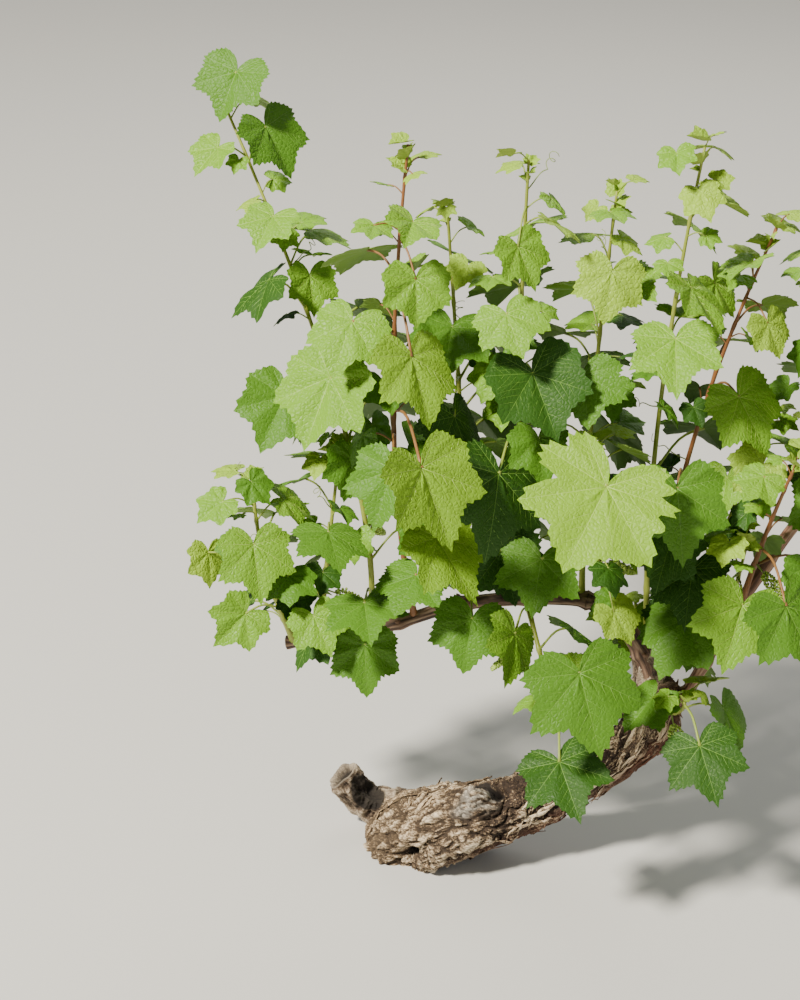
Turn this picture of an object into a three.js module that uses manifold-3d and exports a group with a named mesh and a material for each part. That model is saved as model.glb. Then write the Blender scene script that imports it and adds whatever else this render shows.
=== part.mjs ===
// A grapevine trained low: one old leaning trunk, a cane laid to each side, and leafy shoots in late spring.
// Millimetres, +Z up. The canes run along X, and the front of the vine faces -Y.
// The origin is in the flat cut under the trunk, at ground level.

import * as THREE from "three";
import { mergeVertices } from "three/addons/utils/BufferGeometryUtils.js";
import Module from "manifold-3d";

const wasm = await Module();
wasm.setup();

// Driving dimensions of the wood
// A limb is a smooth curve through a few places, with a radius at its foot and at its tip.
const CLEARANCE = 0.35;
const GROUND = { wide: 1200, deep: 200 };
const TRUNK = {
  path: [
    [2, 10, -50], [15, -6, 4], [63, -26, 46], [126, -20, 66],
    [188, -8, 92], [246, 0, 136], [280, 0, 186], [282, 0, 232],
  ],
  radii: [56, 53, 50, 39, 29, 25, 27, 21],
  sides: 24,
  rings: 27,
};
const LEFT_PATH = [
  [281, 0, 214], [264, 2, 268], [230, 0, 316], [200, -3, 333], [138, 0, 331],
  [61, 4, 317], [-6, 0, 293], [-74, -4, 271], [-134, 0, 260],
];
const RIGHT_PATH = [
  [284, 0, 186], [314, 2, 214], [332, 0, 252], [355, -3, 311], [380, 0, 359],
  [425, 4, 440], [466, 2, 480], [515, 0, 493], [560, -4, 471], [602, 0, 426],
];
const LIMBS = {
  left_arm: { path: LEFT_PATH, from: 0, to: 0.375, radii: [11.5, 9], sides: 9, rings: 12 },
  left_cane: { path: LEFT_PATH, from: 0.375, to: 1, radii: [8.4, 6.2], sides: 8, rings: 20 },
  right_cane: { path: RIGHT_PATH, from: 0, to: 0.66, radii: [7.2, 6.2], sides: 8, rings: 20 },
  right_arch: { path: RIGHT_PATH, from: 0.66, to: 1, radii: [6.1, 4.6], sides: 8, rings: 12 },
};
// Each cane is swollen at its nodes: the height is a share of the radius.
const SWELL = { spacing: 62, height: 0.28, width: 7 };
const STUB = { path: [[-8, 26, 22], [-48, 26, 34], [-75, 22, 70]], radii: [25, 21, 18], sides: 12, rings: 7 };
const SPUR = { path: [[276, 2, 222], [272, 6, 252], [282, 10, 284]], radii: [15, 14, 11], sides: 9, rings: 5 };

// Relief of the wood, angles in radians: waves as [share of the radius, waves round, turn along it, start]
const TRUNK_WAVES = [[0.09, 2, 4, 1.3], [0.06, 3, -9, 0.5], [0.04, 5, 15, 0]];
const ROUGH_WAVES = [[0.1, 3, 7, 0], [0.07, 5, -11, 0]];
const ROOT_FLARE = { height: 0.16, ends: 0.22, waves: 3, start: 0.6 };

// Humps and hollows of the trunk: height, place along and round it, and how far each spreads both ways
const TRUNK_HUMPS = [
  { height: 16, along: 0.12, round: 1.57, length: 0.09, width: 0.9 },
  { height: 17, along: 0.36, round: 2.2, length: 0.05, width: 0.42 },
  { height: -15, along: 0.2, round: 2.9, length: 0.05, width: 0.35 },
  { height: 7, along: 0.9, round: 1.2, length: 0.05, width: 0.6 },
  { height: 6, along: 0.84, round: 4.2, length: 0.06, width: 0.7 },
];

// Driving dimensions of the shoots
// limb and at: where the foot is; reach: tip from foot; bow: how far the middle stands off the straight line.
// leaves: how many the rule tries to grow; largest: midrib of the largest of them.
const SHOOTS = [
  { name: "shoot_left_1", limb: "left_cane", at: 0.97, reach: [-40, -10, 212], bow: [-7, -25, 15],
    leaves: 8, largest: 62, seed: 11 },
  { name: "shoot_left_2", limb: "left_cane", at: 0.87, reach: [21, 40, 222], bow: [-2, -10, -10],
    leaves: 9, largest: 64, seed: 23 },
  { name: "shoot_left_3", limb: "left_cane", at: 0.7, reach: [-185, 200, 565], bow: [60, -50, -50],
    leaves: 13, largest: 78, seed: 37 },
  { name: "shoot_left_4", limb: "left_cane", at: 0.55, reach: [-9, 10, 545], bow: [-17, -25, -20],
    leaves: 10, largest: 84, seed: 41 },
  { name: "shoot_left_5", limb: "left_cane", at: 0.37, reach: [-34, 60, 440], bow: [1, 15, -14],
    leaves: 10, largest: 80, seed: 59 },
  { name: "shoot_left_6", limb: "left_cane", at: 0.22, reach: [-7, 0, 505], bow: [-7, 10, -30],
    leaves: 12, largest: 82, seed: 61 },
  { name: "shoot_left_7", limb: "left_cane", at: 0.02, reach: [19, 50, 455], bow: [-7, 10, -30],
    leaves: 11, largest: 76, seed: 73 },
  { name: "shoot_low_left", limb: "left_cane", at: 0.21, reach: [40, -84, -100], bow: [-5, -14, 24],
    leaves: 5, largest: 72, seed: 83 },
  { name: "shoot_low_right", limb: "trunk", at: 0.92, reach: [28, -74, 44], bow: [6, 0, -14],
    leaves: 8, largest: 58, seed: 97 },
  { name: "shoot_low_back", limb: "trunk", at: 0.9, reach: [-26, 96, 78], bow: [0, 12, -10],
    leaves: 9, largest: 74, seed: 101 },
  { name: "shoot_head_1", limb: "spur", at: 0.3, reach: [26, 0, 612], bow: [-19, -6, -20],
    leaves: 14, largest: 84, seed: 103 },
  { name: "shoot_head_2", limb: "spur", at: 0.95, reach: [97, 20, 478], bow: [-26, 0, -16],
    leaves: 12, largest: 78, seed: 109 },
  { name: "shoot_head_3", limb: "left_arm", at: 0.72, reach: [-26, -60, 232], bow: [-4, 8, -16],
    leaves: 8, largest: 74, seed: 127 },
  { name: "shoot_head_4", limb: "spur", at: 0.6, reach: [110, 34, 290], bow: [10, 16, -30],
    leaves: 9, largest: 72, seed: 131 },
  { name: "shoot_right_1", limb: "right_cane", at: 0.36, reach: [30, -64, 186], bow: [2, -5, -12],
    leaves: 8, largest: 70, seed: 149 },
  { name: "shoot_right_2", limb: "right_cane", at: 0.62, reach: [34, -84, 200], bow: [-3, -12, 9],
    leaves: 8, largest: 74, seed: 151 },
  { name: "shoot_right_3", limb: "right_cane", at: 0.82, reach: [10, 40, 350], bow: [6, 10, -13],
    leaves: 12, largest: 80, seed: 163 },
  { name: "shoot_right_4", limb: "right_arch", at: 0.08, reach: [4, 30, 330], bow: [-8, 8, -24],
    leaves: 12, largest: 82, seed: 173 },
  { name: "shoot_right_5", limb: "right_arch", at: 0.42, reach: [-8, -30, 300], bow: [8, 6, -20],
    leaves: 12, largest: 78, seed: 181 },
  { name: "shoot_right_6", limb: "right_arch", at: 0.9, reach: [36, 26, 262], bow: [-10, 0, -18],
    leaves: 12, largest: 76, seed: 191 },
];

// The leaves that stand out at the front, each hung where it shows
// along: where it leaves its shoot; seat: foot of the blade; turn, droop and roll in degrees; length: midrib.
const SHOWN = {
  shoot_left_1: [
    { along: 0.62, seat: [-158, -62, 417], turn: -70, droop: 60, roll: 6, length: 66 },
    { along: 0.4, seat: [-215, -30, 387], turn: -75, droop: 60, roll: 30, length: 40 },
    { along: 0.2, seat: [-172, -44, 322], turn: -140, droop: 34, roll: 60, length: 52 },
    { along: 0.96, seat: [-163, -34, 478], turn: -23, droop: 43, roll: -24, length: 32 },
  ],
  shoot_left_2: [
    { along: 0.2, seat: [-94, -66, 334], turn: -49, droop: 46, roll: -20, length: 50 },
    { along: 0.9, seat: [-55, -14, 500], turn: -104, droop: 60, roll: 50, length: 48 },
    { along: 0.6, seat: [-76, -70, 440], turn: -70, droop: 12, roll: 10, length: 62 },
  ],
  shoot_left_3: [
    { along: 0.12, seat: [-38, -72, 356], turn: -79, droop: 8, roll: -9, length: 66 },
    { along: 0.5, seat: [-66, 20, 585], turn: -113, droop: 60, roll: 40, length: 44 },
    { along: 0.8, seat: [-118, 96, 662], turn: -83, droop: 60, roll: 20, length: 50 },
    { along: 0.9, seat: [-168, 176, 806], turn: -30, droop: 54, roll: -10, length: 64 },
    { along: 0.97, seat: [-200, 190, 862], turn: -120, droop: 48, roll: 10, length: 58 },
    { along: 0.05, seat: [-40, -52, 292], turn: -80, droop: 62, roll: 4, length: 58 },
  ],
  shoot_left_4: [
    { along: 0.86, seat: [12, -40, 717], turn: -80, droop: 66, roll: 12, length: 51 },
    { along: 0.68, seat: [9, -80, 637], turn: -69, droop: 62, roll: 10, length: 84 },
    { along: 0.42, seat: [8, -112, 544], turn: -108, droop: 44, roll: 12, length: 74 },
    { along: 0.52, seat: [30, -156, 563], turn: -44, droop: 60, roll: 4, length: 90 },
    { along: 0.1, seat: [0, -74, 372], turn: -96, droop: 44, roll: 6, length: 64 },
  ],
  shoot_left_5: [
    { along: 0.62, seat: [58, -56, 574], turn: -40, droop: 60, roll: 17, length: 66 },
    { along: 0.3, seat: [41, -90, 450], turn: -34, droop: 50, roll: -1, length: 84 },
    { along: 0.84, seat: [63, 20, 712], turn: -113, droop: 32, roll: 20, length: 32 },
    { along: 0.08, seat: [78, -64, 338], turn: -104, droop: 56, roll: 10, length: 60 },
  ],
  shoot_left_6: [
    { along: 0.46, seat: [104, -84, 524], turn: -96, droop: 60, roll: 42, length: 96 },
    { along: 0.92, seat: [116, -30, 754], turn: -35, droop: 60, roll: -16, length: 50 },
    { along: 0.74, seat: [107, -52, 689], turn: -63, droop: 36, roll: -18, length: 54 },
  ],
  shoot_left_7: [
    { along: 0.84, seat: [212, -20, 726], turn: -105, droop: 64, roll: 24, length: 56 },
    { along: 0.62, seat: [187, -40, 620], turn: -78, droop: 52, roll: -11, length: 60 },
    { along: 0.46, seat: [142, -62, 556], turn: -75, droop: 60, roll: 7, length: 54 },
    { along: 0.16, seat: [150, -40, 402], turn: -100, droop: 48, roll: 8, length: 66 },
  ],
  shoot_low_left: [
    { along: 0.72, seat: [196, -150, 328], turn: -60, droop: 56, roll: -6, length: 93 },
    { along: 0.3, seat: [139, -110, 331], turn: -119, droop: 54, roll: 40, length: 70 },
    { along: 1, seat: [178, -140, 210], turn: -69, droop: 24, roll: -16, length: 74 },
  ],
  shoot_low_right: [
    { along: 0.8, seat: [316, -112, 238], turn: -85, droop: 48, roll: -8, length: 76 },
  ],
  shoot_head_1: [
    { along: 0.66, seat: [278, -66, 674], turn: -88, droop: 34, roll: -5, length: 68 },
    { along: 0.76, seat: [322, 14, 690], turn: -27, droop: 50, roll: -24, length: 48 },
    { along: 0.93, seat: [300, -12, 818], turn: -56, droop: 46, roll: -30, length: 36 },
  ],
  shoot_head_2: [
    { along: 0.4, seat: [297, -96, 524], turn: -62, droop: 60, roll: 14, length: 88 },
    { along: 0.66, seat: [347, -40, 601], turn: -32, droop: 53, roll: -14, length: 68 },
    { along: 0.86, seat: [373, -12, 672], turn: -40, droop: 60, roll: -8, length: 40 },
  ],
  shoot_head_3: [
    { along: 0.9, seat: [215, -130, 537], turn: -120, droop: 38, roll: 24, length: 104 },
    { along: 0.28, seat: [230, -56, 350], turn: -40, droop: 46, roll: -6, length: 42 },
  ],
  shoot_head_4: [
    { along: 0.96, seat: [376, -50, 530], turn: -150, droop: 36, roll: 50, length: 42 },
    { along: 0.5, seat: [322, -40, 400], turn: -90, droop: 50, roll: -4, length: 74 },
  ],
  shoot_right_1: [
    { along: 0.66, seat: [372, -98, 405], turn: -108, droop: 58, roll: 30, length: 82 },
  ],
  shoot_right_2: [
    { along: 0.4, seat: [404, -136, 411], turn: -42, droop: 52, roll: -6, length: 78 },
  ],
  shoot_right_3: [
    { along: 0.3, seat: [424, -66, 520], turn: -70, droop: 54, roll: -6, length: 78 },
  ],
};

// Leaf: half outline in midrib lengths, from the tip round to the petiole sinus
// The first number runs along the midrib, the second to the side.
const HALF_LEAF = [[0.6, 0.32], [0.57, 0.64], [0.02, 0.71], [-0.33, 0.35]];
const HALF_LEAF_SMALL = [[0.52, 0.55], [-0.24, 0.46]];
const LEAF_SINUS = [-0.06, 0.025];
const LEAF_CENTRE = 0.2;
const LEAF_THICKNESS = 0.03;
const LEAF_THICKNESS_LEAST = 1.6;
const SMALL_LEAF = 50;
const PETIOLE = { radius: 1.5, lift: 0.16, sunk: 2 };
const PETIOLE_CORNERS = [[0.87, -0.5], [-0.87, -0.5], [0, 1]];
const STEM = { foot: 4.4, tip: 1.7, sides: 4, rings: 8 };

// Flower cluster: a bare stalk, then a body that is widest at its shoulder
// shoulder and waist are shares of the body's length; along and slope are draws.
const CLUSTER = {
  length: 46,
  radius: 8.5,
  stalk: 16,
  stalkRadius: 1.4,
  sunk: 2,
  shoulder: 0.25,
  waist: 0.6,
  waistRadius: 5.3,
  tipRadius: 1.2,
  sides: 5,
  along: [0.22, 0.2],
  slope: [-50, 40],
};

// The growing rule; a pair is the least value of a draw and its range, angles are in degrees
// Leaves are largest at a share `full` of the shoot, smaller to its foot and smallest at its tip.
const RULE = {
  lowest: 0.1,
  stray: 0.03,
  full: 0.45,
  footSize: 0.7,
  tipLoss: 0.66,
  tipCurve: 1.3,
  size: [0.9, 0.2],
  rise: [15, 40],
  petiole: [0.62, 0.41],
  petioleLeast: 6,
  swing: [-35, 70],
  droop: [28, 34],
  youngLift: 34,
  roll: [-25, 50],
  fold: [-0.2, 0.5],
  arch: [0, 0.3],
  bend: [0, 0.22],
  spread: 90,
  widen: 12,
  tries: 24,
};

// A shown leaf that would touch another is moved within this slack, a little further at each try
const SHOWN_RULE = {
  tries: 60,
  seat: 26,
  angle: 30,
  along: 0.25,
  lowest: 0.04,
  shrink: 0.14,
  fold: [-0.12, 0.3],
  arch: [0, 0.22],
  bend: [0, 0.14],
};

// Own space of each thing in the crown: sample step in midrib lengths and in millimetres, and the gaps kept
const SAMPLE = 0.1;
const SAMPLE_COVER = 0.6;
const LINE_STEP = 6;
const GAP = { trunk: 6, cane: 3, blade: 1, petiole: 2.5, stem: 2.5, cluster: 2 };
const STEM_FREE = 0.06;
const PETIOLE_FREE = { length: 14, share: 0.6 };
const LOWEST_LEAF = 14;
const DEEPEST_LEAF = 250;

// Colours of bark, wood and foliage
const BARK = { color: 0x7d6a50, roughness: 0.92, metalness: 0 };
const DEAD_WOOD = { color: 0x5b4b3c, roughness: 0.9, metalness: 0 };
const CANE_BARK = { color: 0x6b4a38, roughness: 0.78, metalness: 0 };
const SHOOT_GREENS = [0x6f9c34, 0x5f8f2f, 0x82a83e, 0x4f7f2c];
const LEAF_FINISH = { roughness: 0.55, metalness: 0 };

const at = (list) => new THREE.Vector3(...list);
const radians = THREE.MathUtils.degToRad;

// Direction from a compass turn round the upright and a rise above the level, both in degrees
function pointing(turn, rise) {
  const level = Math.cos(radians(rise));
  return at([level * Math.cos(radians(turn)), level * Math.sin(radians(turn)), Math.sin(radians(rise))]);
}

// Numbers between 0 and 1 that follow from a seed
function draws(seed) {
  let state = seed >>> 0;
  return () => {
    state = (Math.imul(state, 1664525) + 1013904223) >>> 0;
    return state / 4294967296;
  };
}

const drawn = ([least, range], random) => least + range * random();

// Value of a list at a fraction of its length, straight between its entries
function between(list, fraction) {
  const place = fraction * (list.length - 1);
  const low = Math.min(Math.floor(place), list.length - 2);
  return list[low] + (list[low + 1] - list[low]) * (place - low);
}

const smoothCurve = (path) => new THREE.CatmullRomCurve3(path.map(at), false, "catmullrom", 0.5);

// Two directions square to a tangent, the first as near to +Y as it can be
function across(tangent, reference = new THREE.Vector3(0, 1, 0)) {
  const first = reference.clone().addScaledVector(tangent, -reference.dot(tangent)).normalize();
  const second = new THREE.Vector3().crossVectors(tangent, first);
  return [first, second];
}

// Ring of points round a centre, with a radius for each angle
function ring(centre, tangent, sides, radiusAt, reference) {
  const [first, second] = across(tangent, reference);
  return Array.from({ length: sides }, (_, k) => {
    const angle = (2 * Math.PI * k) / sides;
    const radius = radiusAt(angle);
    return centre.clone()
      .addScaledVector(first, radius * Math.cos(angle))
      .addScaledVector(second, radius * Math.sin(angle));
  });
}

function middleOf(points) {
  return points.reduce((sum, p) => sum.add(p), new THREE.Vector3()).divideScalar(points.length);
}

// Closed body through rings of points, with a fan over each end
function skin(rings) {
  const sides = rings[0].length;
  const points = rings.flat();
  const faces = [];
  for (let k = 0; k + 1 < rings.length; k += 1) {
    for (let j = 0; j < sides; j += 1) {
      const a = k * sides + j;
      const b = k * sides + ((j + 1) % sides);
      faces.push(a, b, b + sides, a, b + sides, a + sides);
    }
  }
  const top = (rings.length - 1) * sides;
  if (sides === 3) {
    faces.push(0, 2, 1, top, top + 1, top + 2);
    return bodyOf(points, faces);
  }
  const first = points.push(middleOf(rings[0])) - 1;
  const last = points.push(middleOf(rings[rings.length - 1])) - 1;
  for (let j = 0; j < sides; j += 1) {
    const next = (j + 1) % sides;
    faces.push(first, next, j, last, top + j, top + next);
  }
  return bodyOf(points, faces);
}

// Geometry from points and triangles
function bodyOf(points, faces) {
  const geometry = new THREE.BufferGeometry();
  geometry.setAttribute("position", new THREE.Float32BufferAttribute(points.flatMap((p) => p.toArray()), 3));
  geometry.setIndex(faces);
  return geometry;
}

// Solid for joining and cutting, and back to a geometry
function solid(geometry) {
  const bare = geometry.clone();
  bare.deleteAttribute("normal");
  bare.deleteAttribute("uv");
  const merged = mergeVertices(bare, 1e-4);
  return new wasm.Manifold(new wasm.Mesh({
    numProp: 3,
    vertProperties: merged.attributes.position.array,
    triVerts: new Uint32Array(merged.index.array),
  }));
}

function geometryOf(body) {
  const mesh = body.getMesh();
  const geometry = new THREE.BufferGeometry();
  geometry.setAttribute("position", new THREE.Float32BufferAttribute(mesh.vertProperties, 3));
  geometry.setIndex([...mesh.triVerts]);
  return geometry;
}

// A body without the loose scraps that a cut leaves
function withoutScraps(body) {
  const pieces = body.decompose().sort((a, b) => b.volume() - a.volume());
  return pieces[0];
}

// Waves in a limb's radius, added up
function waved(waves, fraction, angle) {
  const heights = waves.map(([height, round, twist, start]) => {
    return height * Math.sin(round * angle + twist * fraction + start);
  });
  return heights.reduce((sum, height) => sum + height, 0);
}

// Trunk surface: furrowed and twisted, flared at its foot, with a pruning boss and a hollow
function trunkRadius(fraction, angle) {
  const foot = Math.max(0, 1 - fraction / ROOT_FLARE.ends);
  const flare = ROOT_FLARE.height * foot * Math.cos(ROOT_FLARE.waves * angle + ROOT_FLARE.start);
  const humps = TRUNK_HUMPS.reduce((sum, hump) => {
    const round = Math.atan2(Math.sin(angle - hump.round), Math.cos(angle - hump.round));
    const spread = ((fraction - hump.along) / hump.length) ** 2 + (round / hump.width) ** 2;
    return sum + hump.height * Math.exp(-spread);
  }, 0);
  return between(TRUNK.radii, fraction) * (1 + waved(TRUNK_WAVES, fraction, angle) + flare) + humps;
}

function trunkSkin(extra) {
  const curve = smoothCurve(TRUNK.path);
  const rings = [];
  for (let k = 0; k <= TRUNK.rings; k += 1) {
    const fraction = k / TRUNK.rings;
    rings.push(ring(curve.getPoint(fraction), curve.getTangent(fraction), TRUNK.sides,
      (angle) => trunkRadius(fraction, angle) + extra));
  }
  return solid(skin(rings));
}

// Ground cut: everything of a body below z = 0 is taken off
function cutAtGround(body) {
  const block = new THREE.BoxGeometry(GROUND.wide, GROUND.wide, GROUND.deep);
  return body.subtract(solid(block.translate(0, 0, -GROUND.deep / 2)));
}

// Radius of a cane, swollen at each of its nodes
function caneRadius(limb, fraction, length) {
  const base = between(limb.radii, fraction);
  const place = fraction * length;
  const off = Math.abs(place - SWELL.spacing * Math.round(place / SWELL.spacing));
  return base * (1 + SWELL.height * Math.exp(-((off / SWELL.width) ** 2)));
}

function caneSkin(limb, extra) {
  const curve = smoothCurve(limb.path);
  const length = curve.getLength() * (limb.to - limb.from);
  const rings = [];
  for (let k = 0; k <= limb.rings; k += 1) {
    const fraction = k / limb.rings;
    const along = limb.from + (limb.to - limb.from) * fraction;
    const tangent = curve.getTangent(along);
    const centre = curve.getPoint(along);
    if (k === 0) centre.addScaledVector(tangent, CLEARANCE);
    rings.push(ring(centre, tangent, limb.sides, () => caneRadius(limb, fraction, length) + extra));
  }
  return solid(skin(rings));
}

// Short rough limb: the dead stub and the spur on the head
function roughSkin(limb, extra) {
  const curve = smoothCurve(limb.path);
  const rings = [];
  for (let k = 0; k <= limb.rings; k += 1) {
    const fraction = k / limb.rings;
    const base = between(limb.radii, fraction);
    rings.push(ring(curve.getPoint(fraction), curve.getTangent(fraction), limb.sides,
      (angle) => base * (1 + waved(ROUGH_WAVES, fraction, angle)) + extra));
  }
  return solid(skin(rings));
}

// A place on a limb's middle line
function placeOn(limbName, fraction) {
  if (limbName === "trunk") return smoothCurve(TRUNK.path).getPoint(fraction);
  if (limbName === "spur") return smoothCurve(SPUR.path).getPoint(fraction);
  const limb = LIMBS[limbName];
  return smoothCurve(limb.path).getPoint(limb.from + (limb.to - limb.from) * fraction);
}

// Stem of a shoot: one bowed curve from its foot to its tip
function stemCurve(shoot) {
  const foot = placeOn(shoot.limb, shoot.at);
  const tip = foot.clone().add(at(shoot.reach));
  const control = foot.clone().add(tip).multiplyScalar(0.5).addScaledVector(at(shoot.bow), 2);
  return new THREE.QuadraticBezierCurve3(foot, control, tip);
}

const stemRadius = (fraction) => STEM.foot + (STEM.tip - STEM.foot) * fraction;

function stemSkin(curve) {
  const rings = [];
  for (let k = 0; k <= STEM.rings; k += 1) {
    const fraction = k / STEM.rings;
    const centre = curve.getPoint(fraction);
    rings.push(ring(centre, curve.getTangent(fraction), STEM.sides, () => stemRadius(fraction)));
  }
  return solid(skin(rings));
}

// Blade frame: D along the midrib, W to the side, N up from the upper face
function bladeFrame(leaf) {
  const D = pointing(leaf.turn, -leaf.droop);
  const level = pointing(leaf.turn, 90 - leaf.droop);
  const side = new THREE.Vector3().crossVectors(level, D);
  const roll = radians(leaf.roll);
  const N = level.multiplyScalar(Math.cos(roll)).addScaledVector(side, Math.sin(roll));
  const W = new THREE.Vector3().crossVectors(N, D);
  return { D, W, N };
}

// Place on a blade: folded along the midrib, arched across it, and bent down towards its tip
function bladePoint(leaf, frame, u, v, lift = 0) {
  const height = leaf.fold * Math.abs(v) - leaf.arch * v * v - leaf.bend * u * u;
  return at(leaf.seat)
    .addScaledVector(frame.D, leaf.length * u)
    .addScaledVector(frame.W, leaf.length * v)
    .addScaledVector(frame.N, leaf.length * height + lift);
}

// Whole outline from the half one, tip first
function outline(half) {
  const whole = [[1, 0], ...half, LEAF_SINUS];
  const mirrored = whole.slice(1).map(([u, v]) => [u, -v]).reverse();
  return [...whole, ...mirrored];
}

// Petiole from the stem up to the blade
function petiolePath(leaf) {
  const root = at(leaf.root);
  const seat = at(leaf.seat);
  const middle = root.clone().add(seat).multiplyScalar(0.5);
  middle.z += PETIOLE.lift * root.distanceTo(seat);
  return [root, middle, seat];
}

// Leaf: a lens-like blade, thickest where the main veins part, on a three-sided petiole.
// The petiole's last ring is the cut at the foot of the blade, so that the two are one skin.
function leafSkin(leaf) {
  const frame = bladeFrame(leaf);
  const edge = outline(leaf.length < SMALL_LEAF ? HALF_LEAF_SMALL : HALF_LEAF);
  const half = Math.max(LEAF_THICKNESS * leaf.length, LEAF_THICKNESS_LEAST) / 2;
  const [root, middle, seat] = petiolePath(leaf);
  const side = middle.clone().sub(seat).dot(frame.N) > 0 ? 1 : -1;
  const points = edge.map(([u, v]) => bladePoint(leaf, frame, u, v));
  const near = points.push(bladePoint(leaf, frame, LEAF_CENTRE, 0, side * half)) - 1;
  const far = points.push(bladePoint(leaf, frame, LEAF_CENTRE, 0, -side * half)) - 1;
  const cut = edge.findIndex(([u, v]) => u === LEAF_SINUS[0] && v > 0);
  const faces = [];
  for (let k = 0; k < edge.length; k += 1) {
    const next = (k + 1) % edge.length;
    faces.push([far, next, k]);
    if (k !== cut) faces.push([near, k, next]);
  }
  const ends = [cut, cut + 1, near];
  const inward = root.clone().sub(middle).normalize();
  const start = root.clone().addScaledVector(inward, PETIOLE.sunk);
  for (const [centre, tangent] of [[middle, seat.clone().sub(root)], [start, inward.clone().negate()]]) {
    tangent.normalize();
    const [first, second] = across(tangent, frame.W);
    const corners = PETIOLE_CORNERS.map(([w, n]) => centre.clone()
      .addScaledVector(first, PETIOLE.radius * w)
      .addScaledVector(second, PETIOLE.radius * n * side));
    const fresh = corners.map((corner) => points.push(corner) - 1);
    for (let k = 0; k < 3; k += 1) {
      const next = (k + 1) % 3;
      faces.push([ends[k], ends[next], fresh[next]], [ends[k], fresh[next], fresh[k]]);
    }
    ends.splice(0, 3, ...fresh);
  }
  faces.push([ends[0], ends[1], ends[2]]);
  return solid(bodyOf(points, faces.flatMap((face) => (side > 0 ? face : face.reverse()))));
}

// Flower cluster: a stalk and a slim tapering body of buds
function clusterSkin(cluster) {
  const start = at(cluster.root);
  const axis = at(cluster.axis);
  const profile = [
    [-CLUSTER.sunk, CLUSTER.stalkRadius],
    [CLUSTER.stalk, CLUSTER.stalkRadius],
    [CLUSTER.stalk + CLUSTER.shoulder * CLUSTER.length, CLUSTER.radius],
    [CLUSTER.stalk + CLUSTER.waist * CLUSTER.length, CLUSTER.waistRadius],
    [CLUSTER.stalk + CLUSTER.length, CLUSTER.tipRadius],
  ];
  const up = new THREE.Vector3(0, 0, 1);
  const rings = profile.map(([distance, radius]) => {
    const centre = start.clone().addScaledVector(axis, distance);
    return ring(centre, axis, CLUSTER.sides, () => radius, up);
  });
  return solid(skin(rings));
}

// Whether a place of the blade's plan is inside its outline
function inside(polygon, u, v) {
  let hit = false;
  for (let i = 0, j = polygon.length - 1; i < polygon.length; j = i, i += 1) {
    const [ui, vi] = polygon[i];
    const [uj, vj] = polygon[j];
    if ((vi > v) !== (vj > v) && u < ((uj - ui) * (v - vi)) / (vj - vi) + ui) hit = !hit;
  }
  return hit;
}

// Sample points of a blade in its plan: its outline and a hexagonal grid inside it
function bladeGrid() {
  const polygon = outline(HALF_LEAF);
  const grid = [...polygon];
  const rowStep = (SAMPLE * Math.sqrt(3)) / 2;
  const reach = Math.ceil(1 / SAMPLE);
  for (let row = -reach; row <= reach; row += 1) {
    for (let column = -reach; column <= reach; column += 1) {
      const u = (column + (Math.abs(row) % 2) * 0.5) * SAMPLE;
      const v = row * rowStep;
      if (inside(polygon, u, v)) grid.push([u, v]);
    }
  }
  return grid;
}

const GRID = bladeGrid();

// A thing in the crown: points with a reach round each
// Two things are clear of each other when no two of their reaches meet.
function thing(points, reach) {
  const centre = middleOf(points);
  const size = Math.max(...points.map((p) => p.distanceTo(centre)));
  return { points, reach, centre, size };
}

function clear(a, b) {
  const limit = a.reach + b.reach;
  if (a.centre.distanceTo(b.centre) > a.size + b.size + limit) return true;
  const square = limit * limit;
  for (const p of a.points) {
    for (const q of b.points) {
      if (p.distanceToSquared(q) < square) return false;
    }
  }
  return true;
}

// Points along a curve between two fractions
function along(curve, from, to, step) {
  const count = Math.max(2, Math.ceil((curve.getLength() * (to - from)) / step));
  return Array.from({ length: count + 1 }, (_, k) => curve.getPoint(from + ((to - from) * k) / count));
}

// Spaces taken by the wood
function limbThings() {
  const things = [];
  const trunk = smoothCurve(TRUNK.path);
  for (let k = 2; k <= TRUNK.rings; k += 1) {
    const fraction = k / TRUNK.rings;
    things.push(thing([trunk.getPoint(fraction)], between(TRUNK.radii, fraction) + 2 * GAP.trunk));
  }
  for (const limb of Object.values(LIMBS)) {
    const line = along(smoothCurve(limb.path), limb.from, limb.to, LINE_STEP);
    things.push(thing(line, limb.radii[0] * (1 + SWELL.height) + GAP.cane));
  }
  for (const limb of [SPUR, STUB]) {
    things.push(thing(along(smoothCurve(limb.path), 0, 1, LINE_STEP), limb.radii[0] + GAP.cane));
  }
  return things;
}

// Spaces taken by a leaf: its blade, and its petiole once that is free of the stem
function leafThings(leaf) {
  const frame = bladeFrame(leaf);
  const points = GRID.map(([u, v]) => bladePoint(leaf, frame, u, v));
  const blade = thing(points, SAMPLE_COVER * SAMPLE * leaf.length + GAP.blade);
  const [root, middle, seat] = petiolePath(leaf);
  const line = new THREE.CatmullRomCurve3([root, middle, seat], false, "catmullrom", 0.5);
  const free = Math.min(PETIOLE_FREE.share, PETIOLE_FREE.length / root.distanceTo(seat));
  const petiole = thing(along(line, free, 1, LINE_STEP), PETIOLE.radius + GAP.petiole);
  return [blade, petiole];
}

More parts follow.
